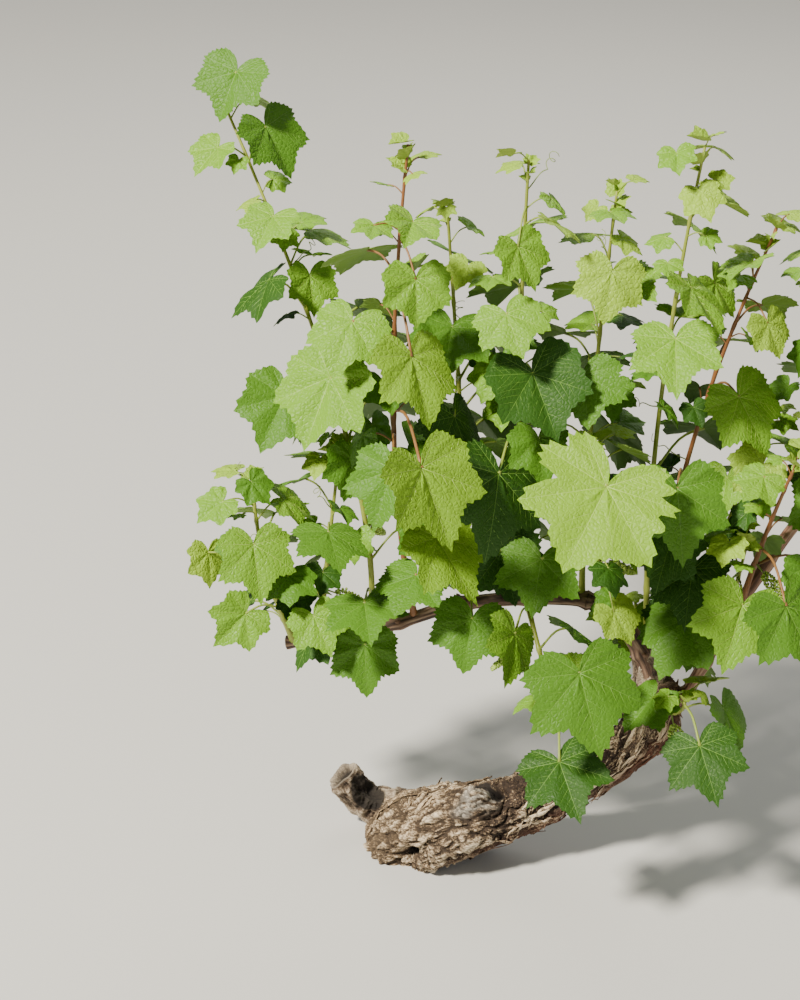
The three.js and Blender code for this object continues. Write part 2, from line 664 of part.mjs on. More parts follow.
// Growing a leaf by the rule: where it leaves the stem, how long its petiole is, and how its blade hangs
function growLeaf(shoot, curve, random, order, spread) {
  const stray = RULE.stray * (random() - 0.5);
  const fraction = Math.min(1, RULE.lowest + ((1 - RULE.lowest) * (order + 0.5)) / shoot.leaves + stray);
  const young = Math.max(0, (fraction - RULE.full) / (1 - RULE.full));
  const size = fraction < RULE.full
    ? RULE.footSize + ((1 - RULE.footSize) * fraction) / RULE.full
    : 1 - RULE.tipLoss * young ** RULE.tipCurve;
  const length = shoot.largest * size * drawn(RULE.size, random);
  const rank = order % 2 === 0 ? -90 : 90;
  const heading = rank + spread * (random() - 0.5);
  const rise = drawn(RULE.rise, random);
  const petiole = RULE.petioleLeast + length * drawn(RULE.petiole, random);
  const root = curve.getPoint(fraction);
  const seat = root.clone().addScaledVector(pointing(heading, rise), petiole);
  return {
    root: root.toArray(),
    seat: seat.toArray(),
    turn: heading + drawn(RULE.swing, random),
    droop: drawn(RULE.droop, random) - RULE.youngLift * young,
    roll: drawn(RULE.roll, random),
    length,
    fold: drawn(RULE.fold, random),
    arch: drawn(RULE.arch, random),
    bend: drawn(RULE.bend, random),
  };
}

// A leaf that shows: as it is given, or a little beside that where it would touch another
function hangShown(shown, curve, random, loose) {
  const jitter = (amount) => 2 * amount * loose * (random() - 0.5);
  const fraction = Math.min(1, Math.max(SHOWN_RULE.lowest, shown.along + jitter(SHOWN_RULE.along)));
  return {
    root: curve.getPoint(fraction).toArray(),
    seat: shown.seat.map((value) => value + jitter(SHOWN_RULE.seat)),
    turn: shown.turn + jitter(SHOWN_RULE.angle),
    droop: shown.droop + jitter(SHOWN_RULE.angle),
    roll: shown.roll + jitter(SHOWN_RULE.angle),
    length: shown.length * (1 - SHOWN_RULE.shrink * loose),
    fold: drawn(SHOWN_RULE.fold, random),
    arch: drawn(SHOWN_RULE.arch, random),
    bend: drawn(SHOWN_RULE.bend, random),
  };
}

// Flower cluster low on the shoot
function growCluster(curve, random) {
  const root = curve.getPoint(drawn(CLUSTER.along, random));
  const heading = 360 * random();
  return { root: root.toArray(), axis: pointing(heading, drawn(CLUSTER.slope, random)).toArray() };
}

function clusterThing(cluster) {
  const start = at(cluster.root).addScaledVector(at(cluster.axis), CLUSTER.stalk + CLUSTER.radius);
  const end = at(cluster.root).addScaledVector(at(cluster.axis), CLUSTER.stalk + CLUSTER.length);
  return thing(along(new THREE.LineCurve3(start, end), 0, 1, LINE_STEP), CLUSTER.radius + GAP.cluster);
}

const withinCrown = (points) => points.every((p) => p.z > LOWEST_LEAF && Math.abs(p.y) < DEEPEST_LEAF);

// Every leaf and cluster of the crown: the shown leaves first, largest first, then the rest shoot by shoot
function growCrown() {
  const taken = limbThings();
  const free = (things) => things.every((item) => taken.every((other) => clear(item, other)));
  const grown = SHOOTS.map((shoot) => ({ shoot, curve: stemCurve(shoot), leaves: [], clusters: [] }));
  for (const { curve } of grown) {
    taken.push(thing(along(curve, STEM_FREE, 1, LINE_STEP), STEM.foot + GAP.stem));
  }
  const shownLeaves = grown.flatMap((row) => (SHOWN[row.shoot.name] ?? []).map((shown) => ({ row, shown })));
  for (const { row, shown } of shownLeaves.sort((a, b) => b.shown.length - a.shown.length)) {
    const random = draws(Math.round(1000 * shown.length + shown.seat[2]));
    for (let attempt = 0; attempt < SHOWN_RULE.tries; attempt += 1) {
      const leaf = hangShown(shown, row.curve, random, attempt / SHOWN_RULE.tries);
      const things = leafThings(leaf);
      if (!free(things)) continue;
      row.leaves.push(leaf);
      taken.push(...things);
      break;
    }
  }
  for (const row of grown) {
    const random = draws(row.shoot.seed);
    for (let order = 0; order < row.shoot.leaves; order += 1) {
      for (let attempt = 0; attempt < RULE.tries; attempt += 1) {
        const leaf = growLeaf(row.shoot, row.curve, random, order, RULE.spread + RULE.widen * attempt);
        const things = leafThings(leaf);
        if (!withinCrown(things[0].points) || !free(things)) continue;
        row.leaves.push(leaf);
        taken.push(...things);
        break;
      }
    }
    for (let attempt = 0; attempt < RULE.tries && row.clusters.length < 1; attempt += 1) {
      const cluster = growCluster(row.curve, random);
      const item = clusterThing(cluster);
      if (!withinCrown(item.points) || !free([item])) continue;
      row.clusters.push(cluster);
      taken.push(item);
    }
  }
  return grown;
}

const crown = growCrown();

// Putting the vine together
const vine = new THREE.Group();

function addMesh(name, body, look) {
  const mesh = new THREE.Mesh(geometryOf(body), new THREE.MeshStandardMaterial(look));
  mesh.name = name;
  vine.add(mesh);
}

const trunkGrown = trunkSkin(CLEARANCE);
addMesh("trunk", cutAtGround(trunkSkin(0)), BARK);
addMesh("dead_stub", cutAtGround(roughSkin(STUB, 0)).subtract(trunkGrown), DEAD_WOOD);
const leftArmGrown = caneSkin(LIMBS.left_arm, CLEARANCE);
const rightCaneGrown = caneSkin(LIMBS.right_cane, CLEARANCE);
const spur = roughSkin(SPUR, 0).subtract(trunkGrown).subtract(leftArmGrown).subtract(rightCaneGrown);
addMesh("head_spur", spur, DEAD_WOOD);
addMesh("left_arm", caneSkin(LIMBS.left_arm, 0).subtract(trunkGrown), CANE_BARK);
addMesh("left_cane", caneSkin(LIMBS.left_cane, 0), CANE_BARK);
addMesh("right_cane", caneSkin(LIMBS.right_cane, 0).subtract(trunkGrown), CANE_BARK);
addMesh("right_arch", caneSkin(LIMBS.right_arch, 0), CANE_BARK);

const limbsGrown = [
  trunkGrown,
  roughSkin(SPUR, CLEARANCE),
  ...Object.values(LIMBS).map((limb) => caneSkin(limb, CLEARANCE)),
];

crown.forEach((row, order) => {
  let mass = stemSkin(row.curve);
  for (const leaf of row.leaves) mass = mass.add(leafSkin(leaf));
  for (const cluster of row.clusters) mass = mass.add(clusterSkin(cluster));
  for (const limb of limbsGrown) mass = mass.subtract(limb);
  const green = SHOOT_GREENS[order % SHOOT_GREENS.length];
  addMesh(row.shoot.name, withoutScraps(mass), { color: green, ...LEAF_FINISH });
});

export default vine;
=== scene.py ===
# %% [markdown]
# # A grapevine in late spring
# An old vine trained low: a leaning trunk with shaggy bark, a cane laid out to each side, and leafy
# shoots that stand up from the canes. The frame holds plain solids for all of it. This lesson puts
# barked wood and real leaves in their place, in the same space, with shapes worked out by numpy.

# %% Load the frame
import math

import bpy
import numpy as np
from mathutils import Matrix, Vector


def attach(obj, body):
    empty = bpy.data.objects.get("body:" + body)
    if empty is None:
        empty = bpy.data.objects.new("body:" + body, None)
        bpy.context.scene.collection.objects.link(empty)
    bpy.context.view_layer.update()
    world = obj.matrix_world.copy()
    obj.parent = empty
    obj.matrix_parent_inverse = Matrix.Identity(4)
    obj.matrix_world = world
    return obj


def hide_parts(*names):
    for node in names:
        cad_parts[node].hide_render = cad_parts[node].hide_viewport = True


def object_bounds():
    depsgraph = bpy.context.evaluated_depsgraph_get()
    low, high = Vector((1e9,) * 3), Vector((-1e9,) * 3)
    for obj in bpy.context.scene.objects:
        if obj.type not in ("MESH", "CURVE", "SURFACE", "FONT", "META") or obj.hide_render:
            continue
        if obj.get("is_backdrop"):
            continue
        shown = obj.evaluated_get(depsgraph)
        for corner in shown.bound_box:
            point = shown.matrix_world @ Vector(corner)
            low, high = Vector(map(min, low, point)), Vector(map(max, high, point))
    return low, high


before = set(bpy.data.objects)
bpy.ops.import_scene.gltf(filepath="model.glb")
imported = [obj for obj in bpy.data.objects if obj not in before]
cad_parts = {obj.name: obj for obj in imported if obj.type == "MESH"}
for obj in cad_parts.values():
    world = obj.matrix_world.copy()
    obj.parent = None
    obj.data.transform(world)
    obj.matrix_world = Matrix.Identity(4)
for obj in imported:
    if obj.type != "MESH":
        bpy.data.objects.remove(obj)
bpy.context.view_layer.update()
cad_box = [list(corner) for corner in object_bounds()]
MM = 0.001
TURN = 2 * math.pi
print("frame nodes:", len(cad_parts), "box in metres:", np.round(cad_box, 3).tolist())

# %% [markdown]
# ## Names for sizes
# Sizes that belong together sit under one name, each with a name of its own, so a formula can be
# read aloud. A table gives the names of its columns once.

# %% Named values
class Sizes(dict):
    """Named values: with sizes = Sizes(width=3), sizes.width is 3."""
    __getattr__ = dict.__getitem__
    __setattr__ = dict.__setitem__


def table(names, *rows):
    """A list of Sizes, one for each row of numbers, all with the same names."""
    return [Sizes(zip(names.split(), row)) for row in rows]

# %% [markdown]
# ## From arrays to a mesh
# Every piece here is a surface on a grid: rows run along a limb or out from a leaf's middle, columns
# run round it. One helper hands the finished arrays to Blender in whole lists, which is far quicker
# than adding points one by one, and it gives each corner a place on a flat map where one is wanted.

# %% Mesh helpers
def quads_of(table):
    """Quads of a table of point numbers, rows by columns; the columns close into a ring."""
    beside = np.roll(table, -1, axis=1)
    return np.stack([table[:-1], beside[:-1], beside[1:], table[1:]], -1).reshape(-1, 4)


def fan(centre, first, columns, outward):
    """Triangles from a middle point to the ring that starts at number `first`."""
    here = first + np.arange(columns)
    beside = np.roll(here, -1)
    middle = np.full(columns, centre)
    return np.stack([middle, here, beside] if outward else [middle, beside, here], -1)


def tube_faces(rings, sides):
    """Quads of a tube's wall and the fans of its ends, whose middle points come after the rings."""
    size = rings * sides
    caps = [fan(size, 0, sides, False), fan(size + 1, size - sides, sides, True)]
    return quads_of(np.arange(size).reshape(rings, sides)), np.vstack(caps)


def repeat_faces(faces, count, points_each):
    """The same faces for each of several equal blocks of points."""
    return (faces[None] + (np.arange(count) * points_each)[:, None, None]).reshape(-1, faces.shape[1])


def joined(blocks):
    """Stacks (points, quads, triangles) blocks into one, shifting the face numbers."""
    starts = np.cumsum([0] + [len(points) for points, _, _ in blocks])
    points, quads, triangles = zip(*blocks)
    return (np.vstack(points), np.vstack([faces + start for faces, start in zip(quads, starts)]),
            np.vstack([faces + start for faces, start in zip(triangles, starts)]))


def placed(name, data, location=(0, 0, 0), rotation=(0, 0, 0)):
    """A new object in the scene; a finished piece stays at the origin, unturned."""
    item = bpy.data.objects.new(name, data)
    item.location = location
    item.rotation_euler = rotation
    bpy.context.scene.collection.objects.link(item)
    return item


def make_piece(name, mesh_rows, materials, slot, nodes=(), masks=None, uv=None, rim=None, sides=None):
    """Mesh object from (points in millimetres, quads, triangles), with masks that hold one value per point.

    An edge between two points of the rim is sharp; sides has the number of each face's material.
    """
    points, quads, triangles = mesh_rows
    corners = np.concatenate([np.ravel(quads), np.ravel(triangles)]).astype(int)
    starts = np.concatenate([4 * np.arange(len(quads)), 4 * len(quads) + 3 * np.arange(len(triangles))])
    mesh = bpy.data.meshes.new(name)
    mesh.vertices.add(len(points))
    mesh.vertices.foreach_set("co", (points * MM).ravel())
    mesh.loops.add(len(corners))
    mesh.loops.foreach_set("vertex_index", corners)
    mesh.polygons.add(len(starts))
    mesh.polygons.foreach_set("loop_start", starts)
    mesh.update(calc_edges=True)
    mesh.polygons.foreach_set("use_smooth", np.ones(len(starts), bool))
    for mask, values in (masks or {}).items():
        kind, field = ("FLOAT", "value") if np.ndim(values) == 1 else ("FLOAT_VECTOR", "vector")
        mesh.attributes.new(mask, kind, "POINT").data.foreach_set(field, np.ravel(values))
    if rim is not None:
        edges = np.empty(2 * len(mesh.edges), int)
        mesh.edges.foreach_get("vertices", edges)
        sharp = mesh.attributes.new("sharp_edge", "BOOLEAN", "EDGE")
        sharp.data.foreach_set("value", rim[edges.reshape(-1, 2)].all(1))
    if uv is not None:
        mesh.uv_layers.new(name="OFBake").data.foreach_set("uv", np.ravel(uv))
    for material in materials:
        mesh.materials.append(material)
    if sides is not None:
        mesh.polygons.foreach_set("material_index", sides.astype(np.int32))
    piece = placed(name, mesh)
    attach(piece, "root")
    if nodes:
        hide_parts(*nodes)
    print(f"{name}: {2 * len(quads) + len(triangles)} triangles")


# %% [markdown]
# ## Smooth lines
# A limb follows a smooth line through a few places, as a gardener bends a cane from tie to tie. The
# line and its direction can be asked for at any number of fractions of its length at once.

# %% Lines through places
def smooth_line(path):
    """Catmull-Rom line: cubic stretches whose ends lean as the line between the neighbours does."""
    places = np.asarray(path, float)
    first = 2 * places[0] - places[1]
    last = 2 * places[-1] - places[-2]
    padded = np.vstack([first, places, last])

    def point(fraction):
        place = np.asarray(fraction, float) * (len(places) - 1)
        low = np.clip(np.floor(place).astype(int), 0, len(places) - 2)
        t = (place - low)[..., None]
        x0, x1, x2, x3 = (padded[low + k] for k in range(4))
        t0 = 0.5 * (x2 - x0)
        t1 = 0.5 * (x3 - x1)
        return x1 + t0 * t + (3 * (x2 - x1) - 2 * t0 - t1) * t**2 + (2 * (x1 - x2) + t0 + t1) * t**3

    return point


def bowed_line(foot, control, tip):
    """Quadratic line: it leaves the foot towards the control place and reaches the tip from it."""
    def point(fraction):
        t = np.asarray(fraction, float)[..., None]
        return (1 - t) ** 2 * foot + 2 * (1 - t) * t * control + t**2 * tip

    return point


def unit(vectors):
    """Vectors divided by their own length."""
    return vectors / np.linalg.norm(vectors, axis=-1, keepdims=True)


def direction(line, fraction):
    """Unit direction: the difference between two places a ten-thousandth to either side."""
    fraction = np.asarray(fraction, float)
    return unit(line(np.minimum(fraction + 1e-4, 1)) - line(np.maximum(fraction - 1e-4, 0)))


def length_of(line):
    """Length of a line as the sum of two hundred short chords."""
    return float(np.linalg.norm(np.diff(line(np.arange(201) / 200), axis=0), axis=1).sum())


def along(line, start, end, step):
    """Places along a line between two fractions, no more than a step apart."""
    count = max(2, math.ceil(length_of(line) * (end - start) / step))
    return line(start + (end - start) * np.arange(count + 1) / count)


def across(tangent, reference=(0.0, 1.0, 0.0)):
    """Two directions square to a tangent: the reference less its share along it, then their cross."""
    reference = np.asarray(reference, float)
    first = unit(reference - np.sum(tangent * reference, -1, keepdims=True) * tangent)
    return first, np.cross(tangent, first)


def turned(first, second, angle):
    """The first direction turned towards the second: cos(angle) * first + sin(angle) * second."""
    return first * np.cos(angle)[..., None] + second * np.sin(angle)[..., None]


def skin_places(line, radius, fraction, angle):
    """Places of a skin: the line plus the radius times the direction out at the angle."""
    spoke = turned(*across(direction(line, fraction)), angle)
    return line(fraction) + radius(fraction, angle)[..., None] * spoke


# %% [markdown]
# ## The wood, as the frame has it
# The trunk, the dead stub, the spur on the head and the four lengths of cane keep the frame's own
# lines and radii. What is added later is relief: bark, buds, cuts and peeling strips.

# %% Sizes of the wood
TRUNK_LINE = smooth_line([
    [2, 10, -50], [15, -6, 4], [63, -26, 46], [126, -20, 66],
    [188, -8, 92], [246, 0, 136], [280, 0, 186], [282, 0, 232],
])
TRUNK_RADII = [56, 53, 50, 39, 29, 25, 27, 21]
TRUNK_RINGS = 27
TRUNK_WAVES = [[0.09, 2, 4, 1.3], [0.06, 3, -9, 0.5], [0.04, 5, 15, 0]]
ROUGH_WAVES = [[0.1, 3, 7, 0], [0.07, 5, -11, 0]]
ROOT_FLARE = Sizes(height=0.16, ends=0.22, waves=3, start=0.6)
TRUNK_HUMPS = table(
    "height along round length width",
    (16, 0.12, 1.57, 0.09, 0.9), (17, 0.36, 2.2, 0.05, 0.42), (-15, 0.2, 2.9, 0.05, 0.35),
    (7, 0.9, 1.2, 0.05, 0.6), (6, 0.84, 4.2, 0.06, 0.7))
LEFT_LINE = smooth_line([
    [281, 0, 214], [264, 2, 268], [230, 0, 316], [200, -3, 333], [138, 0, 331],
    [61, 4, 317], [-6, 0, 293], [-74, -4, 271], [-134, 0, 260],
])
RIGHT_LINE = smooth_line([
    [284, 0, 186], [314, 2, 214], [332, 0, 252], [355, -3, 311], [380, 0, 359],
    [425, 4, 440], [466, 2, 480], [515, 0, 493], [560, -4, 471], [602, 0, 426],
])
LIMBS = {
    "left_arm": Sizes(line=LEFT_LINE, start=0, end=0.375, radii=[11.5, 9]),
    "left_cane": Sizes(line=LEFT_LINE, start=0.375, end=1, radii=[8.4, 6.2]),
    "right_cane": Sizes(line=RIGHT_LINE, start=0, end=0.66, radii=[7.2, 6.2]),
    "right_arch": Sizes(line=RIGHT_LINE, start=0.66, end=1, radii=[6.1, 4.6]),
}
SWELL = Sizes(spacing=62, height=0.28, width=7)
STUB = Sizes(line=smooth_line([[-8, 26, 22], [-48, 26, 34], [-75, 22, 70]]), radii=[25, 21, 18])
SPUR = Sizes(line=smooth_line([[276, 2, 222], [272, 6, 252], [282, 10, 284]]), radii=[15, 14, 11])


def between(values, fraction):
    """Value of a list at a fraction of its length, straight between its entries."""
    return np.interp(np.asarray(fraction) * (len(values) - 1), np.arange(len(values)), values)


def waved(waves, fraction, angle):
    """Sum of sines round and along a limb, each a share of its radius."""
    return sum(size * np.sin(count * angle + twist * fraction + start) for size, count, twist, start in waves)


def angle_from(angle, other):
    """Angle from another one, between minus half a turn and half a turn."""
    return np.arctan2(np.sin(angle - other), np.cos(angle - other))


def bump(hump, fraction, angle):
    """Bell-shaped hump in the fraction along and the angle round a limb."""
    aside = angle_from(angle, hump.round) / hump.width
    return np.exp(-(((fraction - hump.along) / hump.length) ** 2) - aside**2)


def bell(values, width):
    """Bell curve: exp(-(values / width)^2)."""
    return np.exp(-((values / width) ** 2))


def span_of(limb):
    """Length of one limb's stretch of the whole cane."""
    return length_of(limb.line) * (limb.end - limb.start)


def on_limb(limb, share):
    """Fraction of the whole cane's line at a share of the limb's own stretch."""
    return limb.start + (limb.end - limb.start) * share


def trunk_radius(fraction, angle):
    """Tapering radius times twisted waves and a flared foot, plus the humps and hollows."""
    foot = np.maximum(0, 1 - fraction / ROOT_FLARE.ends)
    flare = ROOT_FLARE.height * foot * np.cos(ROOT_FLARE.waves * angle + ROOT_FLARE.start)
    humps = sum(hump.height * bump(hump, fraction, angle) for hump in TRUNK_HUMPS)
    return between(TRUNK_RADII, fraction) * (1 + waved(TRUNK_WAVES, fraction, angle) + flare) + humps


print("trunk length in millimetres:", round(length_of(TRUNK_LINE)))

# %% [markdown]
# ## The growing rule
# The frame's leaves follow a rule: each shoot is one bowed stem, its leaves stand in two ranks, and a
# leaf that would touch another is tried again elsewhere. The rule is written here once more, from the
# same sizes and the same seeds, so that every leaf comes back in its own place.

# %% Shoots and their shown leaves
# Each shoot: limb, place on it, reach of the tip, bow of the middle, leaves, largest midrib, seed
SHOOTS = {
    "shoot_left_1": ("left_cane", 0.97, [-40, -10, 212], [-7, -25, 15], 8, 62, 11),
    "shoot_left_2": ("left_cane", 0.87, [21, 40, 222], [-2, -10, -10], 9, 64, 23),
    "shoot_left_3": ("left_cane", 0.7, [-185, 200, 565], [60, -50, -50], 13, 78, 37),
    "shoot_left_4": ("left_cane", 0.55, [-9, 10, 545], [-17, -25, -20], 10, 84, 41),
    "shoot_left_5": ("left_cane", 0.37, [-34, 60, 440], [1, 15, -14], 10, 80, 59),
    "shoot_left_6": ("left_cane", 0.22, [-7, 0, 505], [-7, 10, -30], 12, 82, 61),
    "shoot_left_7": ("left_cane", 0.02, [19, 50, 455], [-7, 10, -30], 11, 76, 73),
    "shoot_low_left": ("left_cane", 0.21, [40, -84, -100], [-5, -14, 24], 5, 72, 83),
    "shoot_low_right": ("trunk", 0.92, [28, -74, 44], [6, 0, -14], 8, 58, 97),
    "shoot_low_back": ("trunk", 0.9, [-26, 96, 78], [0, 12, -10], 9, 74, 101),
    "shoot_head_1": ("spur", 0.3, [26, 0, 612], [-19, -6, -20], 14, 84, 103),
    "shoot_head_2": ("spur", 0.95, [97, 20, 478], [-26, 0, -16], 12, 78, 109),
    "shoot_head_3": ("left_arm", 0.72, [-26, -60, 232], [-4, 8, -16], 8, 74, 127),
    "shoot_head_4": ("spur", 0.6, [110, 34, 290], [10, 16, -30], 9, 72, 131),
    "shoot_right_1": ("right_cane", 0.36, [30, -64, 186], [2, -5, -12], 8, 70, 149),
    "shoot_right_2": ("right_cane", 0.62, [34, -84, 200], [-3, -12, 9], 8, 74, 151),
    "shoot_right_3": ("right_cane", 0.82, [10, 40, 350], [6, 10, -13], 12, 80, 163),
    "shoot_right_4": ("right_arch", 0.08, [4, 30, 330], [-8, 8, -24], 12, 82, 173),
    "shoot_right_5": ("right_arch", 0.42, [-8, -30, 300], [8, 6, -20], 12, 78, 181),
    "shoot_right_6": ("right_arch", 0.9, [36, 26, 262], [-10, 0, -18], 12, 76, 191),
}

# Each shown leaf: place on the shoot, seat of the blade, turn, droop, roll, midrib, tint
SHOWN = {
    "shoot_left_1": [
        (0.62, [-158, -62, 417], -70, 60, 6, 66, "fresh"), (0.4, [-215, -30, 387], -75, 60, 30, 40, "young"),
        (0.2, [-172, -44, 322], -140, 34, 60, 52, "fresh"), (0.96, [-163, -34, 478], -23, 43, -24, 32, "mid"),
    ],
    "shoot_left_2": [
        (0.2, [-94, -66, 334], -49, 46, -20, 50, "fresh"), (0.9, [-55, -14, 500], -104, 60, 50, 48, "mid"),
        (0.6, [-76, -70, 440], -70, 12, 10, 62, "mid"),
    ],
    "shoot_left_3": [
        (0.12, [-38, -72, 356], -79, 8, -9, 66, "mid"), (0.5, [-66, 20, 585], -113, 60, 40, 44, "mid"),
        (0.8, [-118, 96, 662], -83, 60, 20, 50, "fresh"), (0.9, [-168, 176, 806], -30, 54, -10, 64, "mid"),
        (0.97, [-200, 190, 862], -120, 48, 10, 58, "mid"), (0.05, [-40, -52, 292], -80, 62, 4, 58, "mid"),
    ],
    "shoot_left_4": [
        (0.86, [12, -40, 717], -80, 66, 12, 51, "fresh"), (0.68, [9, -80, 637], -69, 62, 10, 84, "pale"),
        (0.42, [8, -112, 544], -108, 44, 12, 74, "mid"), (0.52, [30, -156, 563], -44, 60, 4, 90, "pale"),
        (0.1, [0, -74, 372], -96, 44, 6, 64, "mid"),
    ],
    "shoot_left_5": [
        (0.62, [58, -56, 574], -40, 60, 17, 66, "deep"), (0.3, [41, -90, 450], -34, 50, -1, 84, "pale"),
        (0.84, [63, 20, 712], -113, 32, 20, 32, "young"), (0.08, [78, -64, 338], -104, 56, 10, 60, "mid"),
    ],
    "shoot_left_6": [
        (0.46, [104, -84, 524], -96, 60, 42, 96, "deep"), (0.92, [116, -30, 754], -35, 60, -16, 50, "fresh"),
        (0.74, [107, -52, 689], -63, 36, -18, 54, "fresh"),
    ],
    "shoot_left_7": [
        (0.84, [212, -20, 726], -105, 64, 24, 56, "young"), (0.62, [187, -40, 620], -78, 52, -11, 60, "mid"),
        (0.46, [142, -62, 556], -75, 60, 7, 54, "mid"), (0.16, [150, -40, 402], -100, 48, 8, 66, "mid"),
    ],
    "shoot_low_left": [
        (0.72, [196, -150, 328], -60, 56, -6, 93, "mid"), (0.3, [139, -110, 331], -119, 54, 40, 70, "fresh"),
        (1, [178, -140, 210], -69, 24, -16, 74, "deep"),
    ],
    "shoot_low_right": [(0.8, [316, -112, 238], -85, 48, -8, 76, "deep")],
    "shoot_head_1": [
        (0.66, [278, -66, 674], -88, 34, -5, 68, "fresh"), (0.76, [322, 14, 690], -27, 50, -24, 48, "fresh"),
        (0.93, [300, -12, 818], -56, 46, -30, 36, "young"),
    ],
    "shoot_head_2": [
        (0.4, [297, -96, 524], -62, 60, 14, 88, "mid"), (0.66, [347, -40, 601], -32, 53, -14, 68, "fresh"),
        (0.86, [373, -12, 672], -40, 60, -8, 40, "young"),
    ],
    "shoot_head_3": [
        (0.9, [215, -130, 537], -120, 38, 24, 104, "pale"), (0.28, [230, -56, 350], -40, 46, -6, 42, "young"),
    ],
    "shoot_head_4": [
        (0.96, [376, -50, 530], -150, 36, 50, 42, "young"), (0.5, [322, -40, 400], -90, 50, -4, 74, "deep"),
    ],
    "shoot_right_1": [(0.66, [372, -98, 405], -108, 58, 30, 82, "fresh")],
    "shoot_right_2": [(0.4, [404, -136, 411], -42, 52, -6, 78, "mid")],
    "shoot_right_3": [(0.3, [424, -66, 520], -70, 54, -6, 78, "mid")],
}
print("shoots:", len(SHOOTS), "shown leaves:", sum(map(len, SHOWN.values())))

# %% Sizes of leaves, stems and clusters
HALF_LEAF = [[0.6, 0.32], [0.57, 0.64], [0.02, 0.71], [-0.33, 0.35]]
LEAF_SINUS = [-0.06, 0.025]
PETIOLE = Sizes(radius=1.5, lift=0.16)
STEM = Sizes(foot=4.4, tip=1.7)
CLUSTER = Sizes(length=46, radius=8.5, stalk=16, along=[0.22, 0.2], slope=[-50, 40])
RULE = Sizes(
    lowest=0.1, stray=0.03, full=0.45, foot_size=0.7, tip_loss=0.66, tip_curve=1.3,
    size=[0.9, 0.2], rise=[15, 40], petiole=[0.62, 0.41], petiole_least=6, swing=[-35, 70],
    droop=[28, 34], young_lift=34, roll=[-25, 50], fold=[-0.2, 0.5], arch=[0, 0.3],
    bend=[0, 0.22], spread=90, widen=12, tries=24,
)
SHOWN_RULE = Sizes(
    tries=60, seat=26, angle=30, along=0.25, lowest=0.04, shrink=0.14,
    fold=[-0.12, 0.3], arch=[0, 0.22], bend=[0, 0.14],
)
SAMPLE = 0.1
SAMPLE_COVER = 0.6
LINE_STEP = 6
GAP = Sizes(trunk=6, cane=3, blade=1, petiole=2.5, stem=2.5, cluster=2)
STEM_FREE = 0.06
PETIOLE_FREE = Sizes(length=14, share=0.6)
LOWEST_LEAF = 14
DEEPEST_LEAF = 250
BENDS = ("fold", "arch", "bend")
GOLDEN_TURN = 137.5

# %% Seeds, directions and the blade's own frame
def draws(seed):
    """Numbers between 0 and 1: the state is multiplied and shifted each time, and cut to 32 bits."""
    state = seed

    def draw():
        nonlocal state
        state = (state * 1664525 + 1013904223) % 2**32
        return state / 2**32

    return draw


def drawn(pair, random):
    """The least value of a pair plus its range times a draw."""
    return pair[0] + pair[1] * random()


def pointing(turn, rise):
    """Direction from a compass turn and a rise above the level, both in degrees."""
    turn, rise = np.radians(turn), np.radians(rise)
    return np.stack([np.cos(turn) * np.cos(rise), np.sin(turn) * np.cos(rise), np.sin(rise)], -1)


def blade_frame(turn, droop, roll):
    """D down the midrib, W to the side, N up: the level normal turned about D by the roll."""
    D = pointing(turn, -np.asarray(droop))
    level = pointing(turn, 90 - np.asarray(droop))
    N = turned(level, np.cross(level, D), np.radians(roll))
    return D, np.cross(N, D), N


def leaf_outline():
    """The frame's leaf outline in midrib lengths: the half from tip to sinus, then its mirror image."""
    whole = np.array([[1, 0], *HALF_LEAF, LEAF_SINUS], float)
    return np.vstack([whole, (whole[1:] * [1, -1])[::-1]])


def inside(polygon, places):
    """Whether places are in a polygon: a ray to the side crosses its edges an odd number of times."""
    u, v = places[:, None, 0], places[:, None, 1]
    ui, vi = polygon[:, 0], polygon[:, 1]
    uj, vj = np.roll(ui, 1), np.roll(vi, 1)
    with np.errstate(divide="ignore", invalid="ignore"):
        crossed = ((vi > v) != (vj > v)) & (u < (uj - ui) * (v - vi) / (vj - vi) + ui)
    return crossed.sum(1) % 2 == 1


reach = math.ceil(1 / SAMPLE)
row, column = np.meshgrid(np.arange(-reach, reach + 1), np.arange(-reach, reach + 1), indexing="ij")
shifted = column + np.abs(row) % 2 * 0.5
hexes = np.stack([shifted * SAMPLE, row * SAMPLE * math.sqrt(3) / 2], -1).reshape(-1, 2)
BLADE_GRID = np.vstack([leaf_outline(), hexes[inside(leaf_outline(), hexes)]])
print("sample places on a blade:", len(BLADE_GRID))

# %% [markdown]
# ## Room for each leaf
# A leaf is a cloud of sample places with a reach round each. Two things are clear of each other when
# no two reaches meet. All the places that are taken so far lie in one long array, so one leaf is
# tried against the near ones in a single step.

# %% The taken space
def hull(places):
    """Middle and radius of the round hull of some places."""
    middle = places.mean(0)
    return middle, np.sqrt(((places - middle) ** 2).sum(1).max())


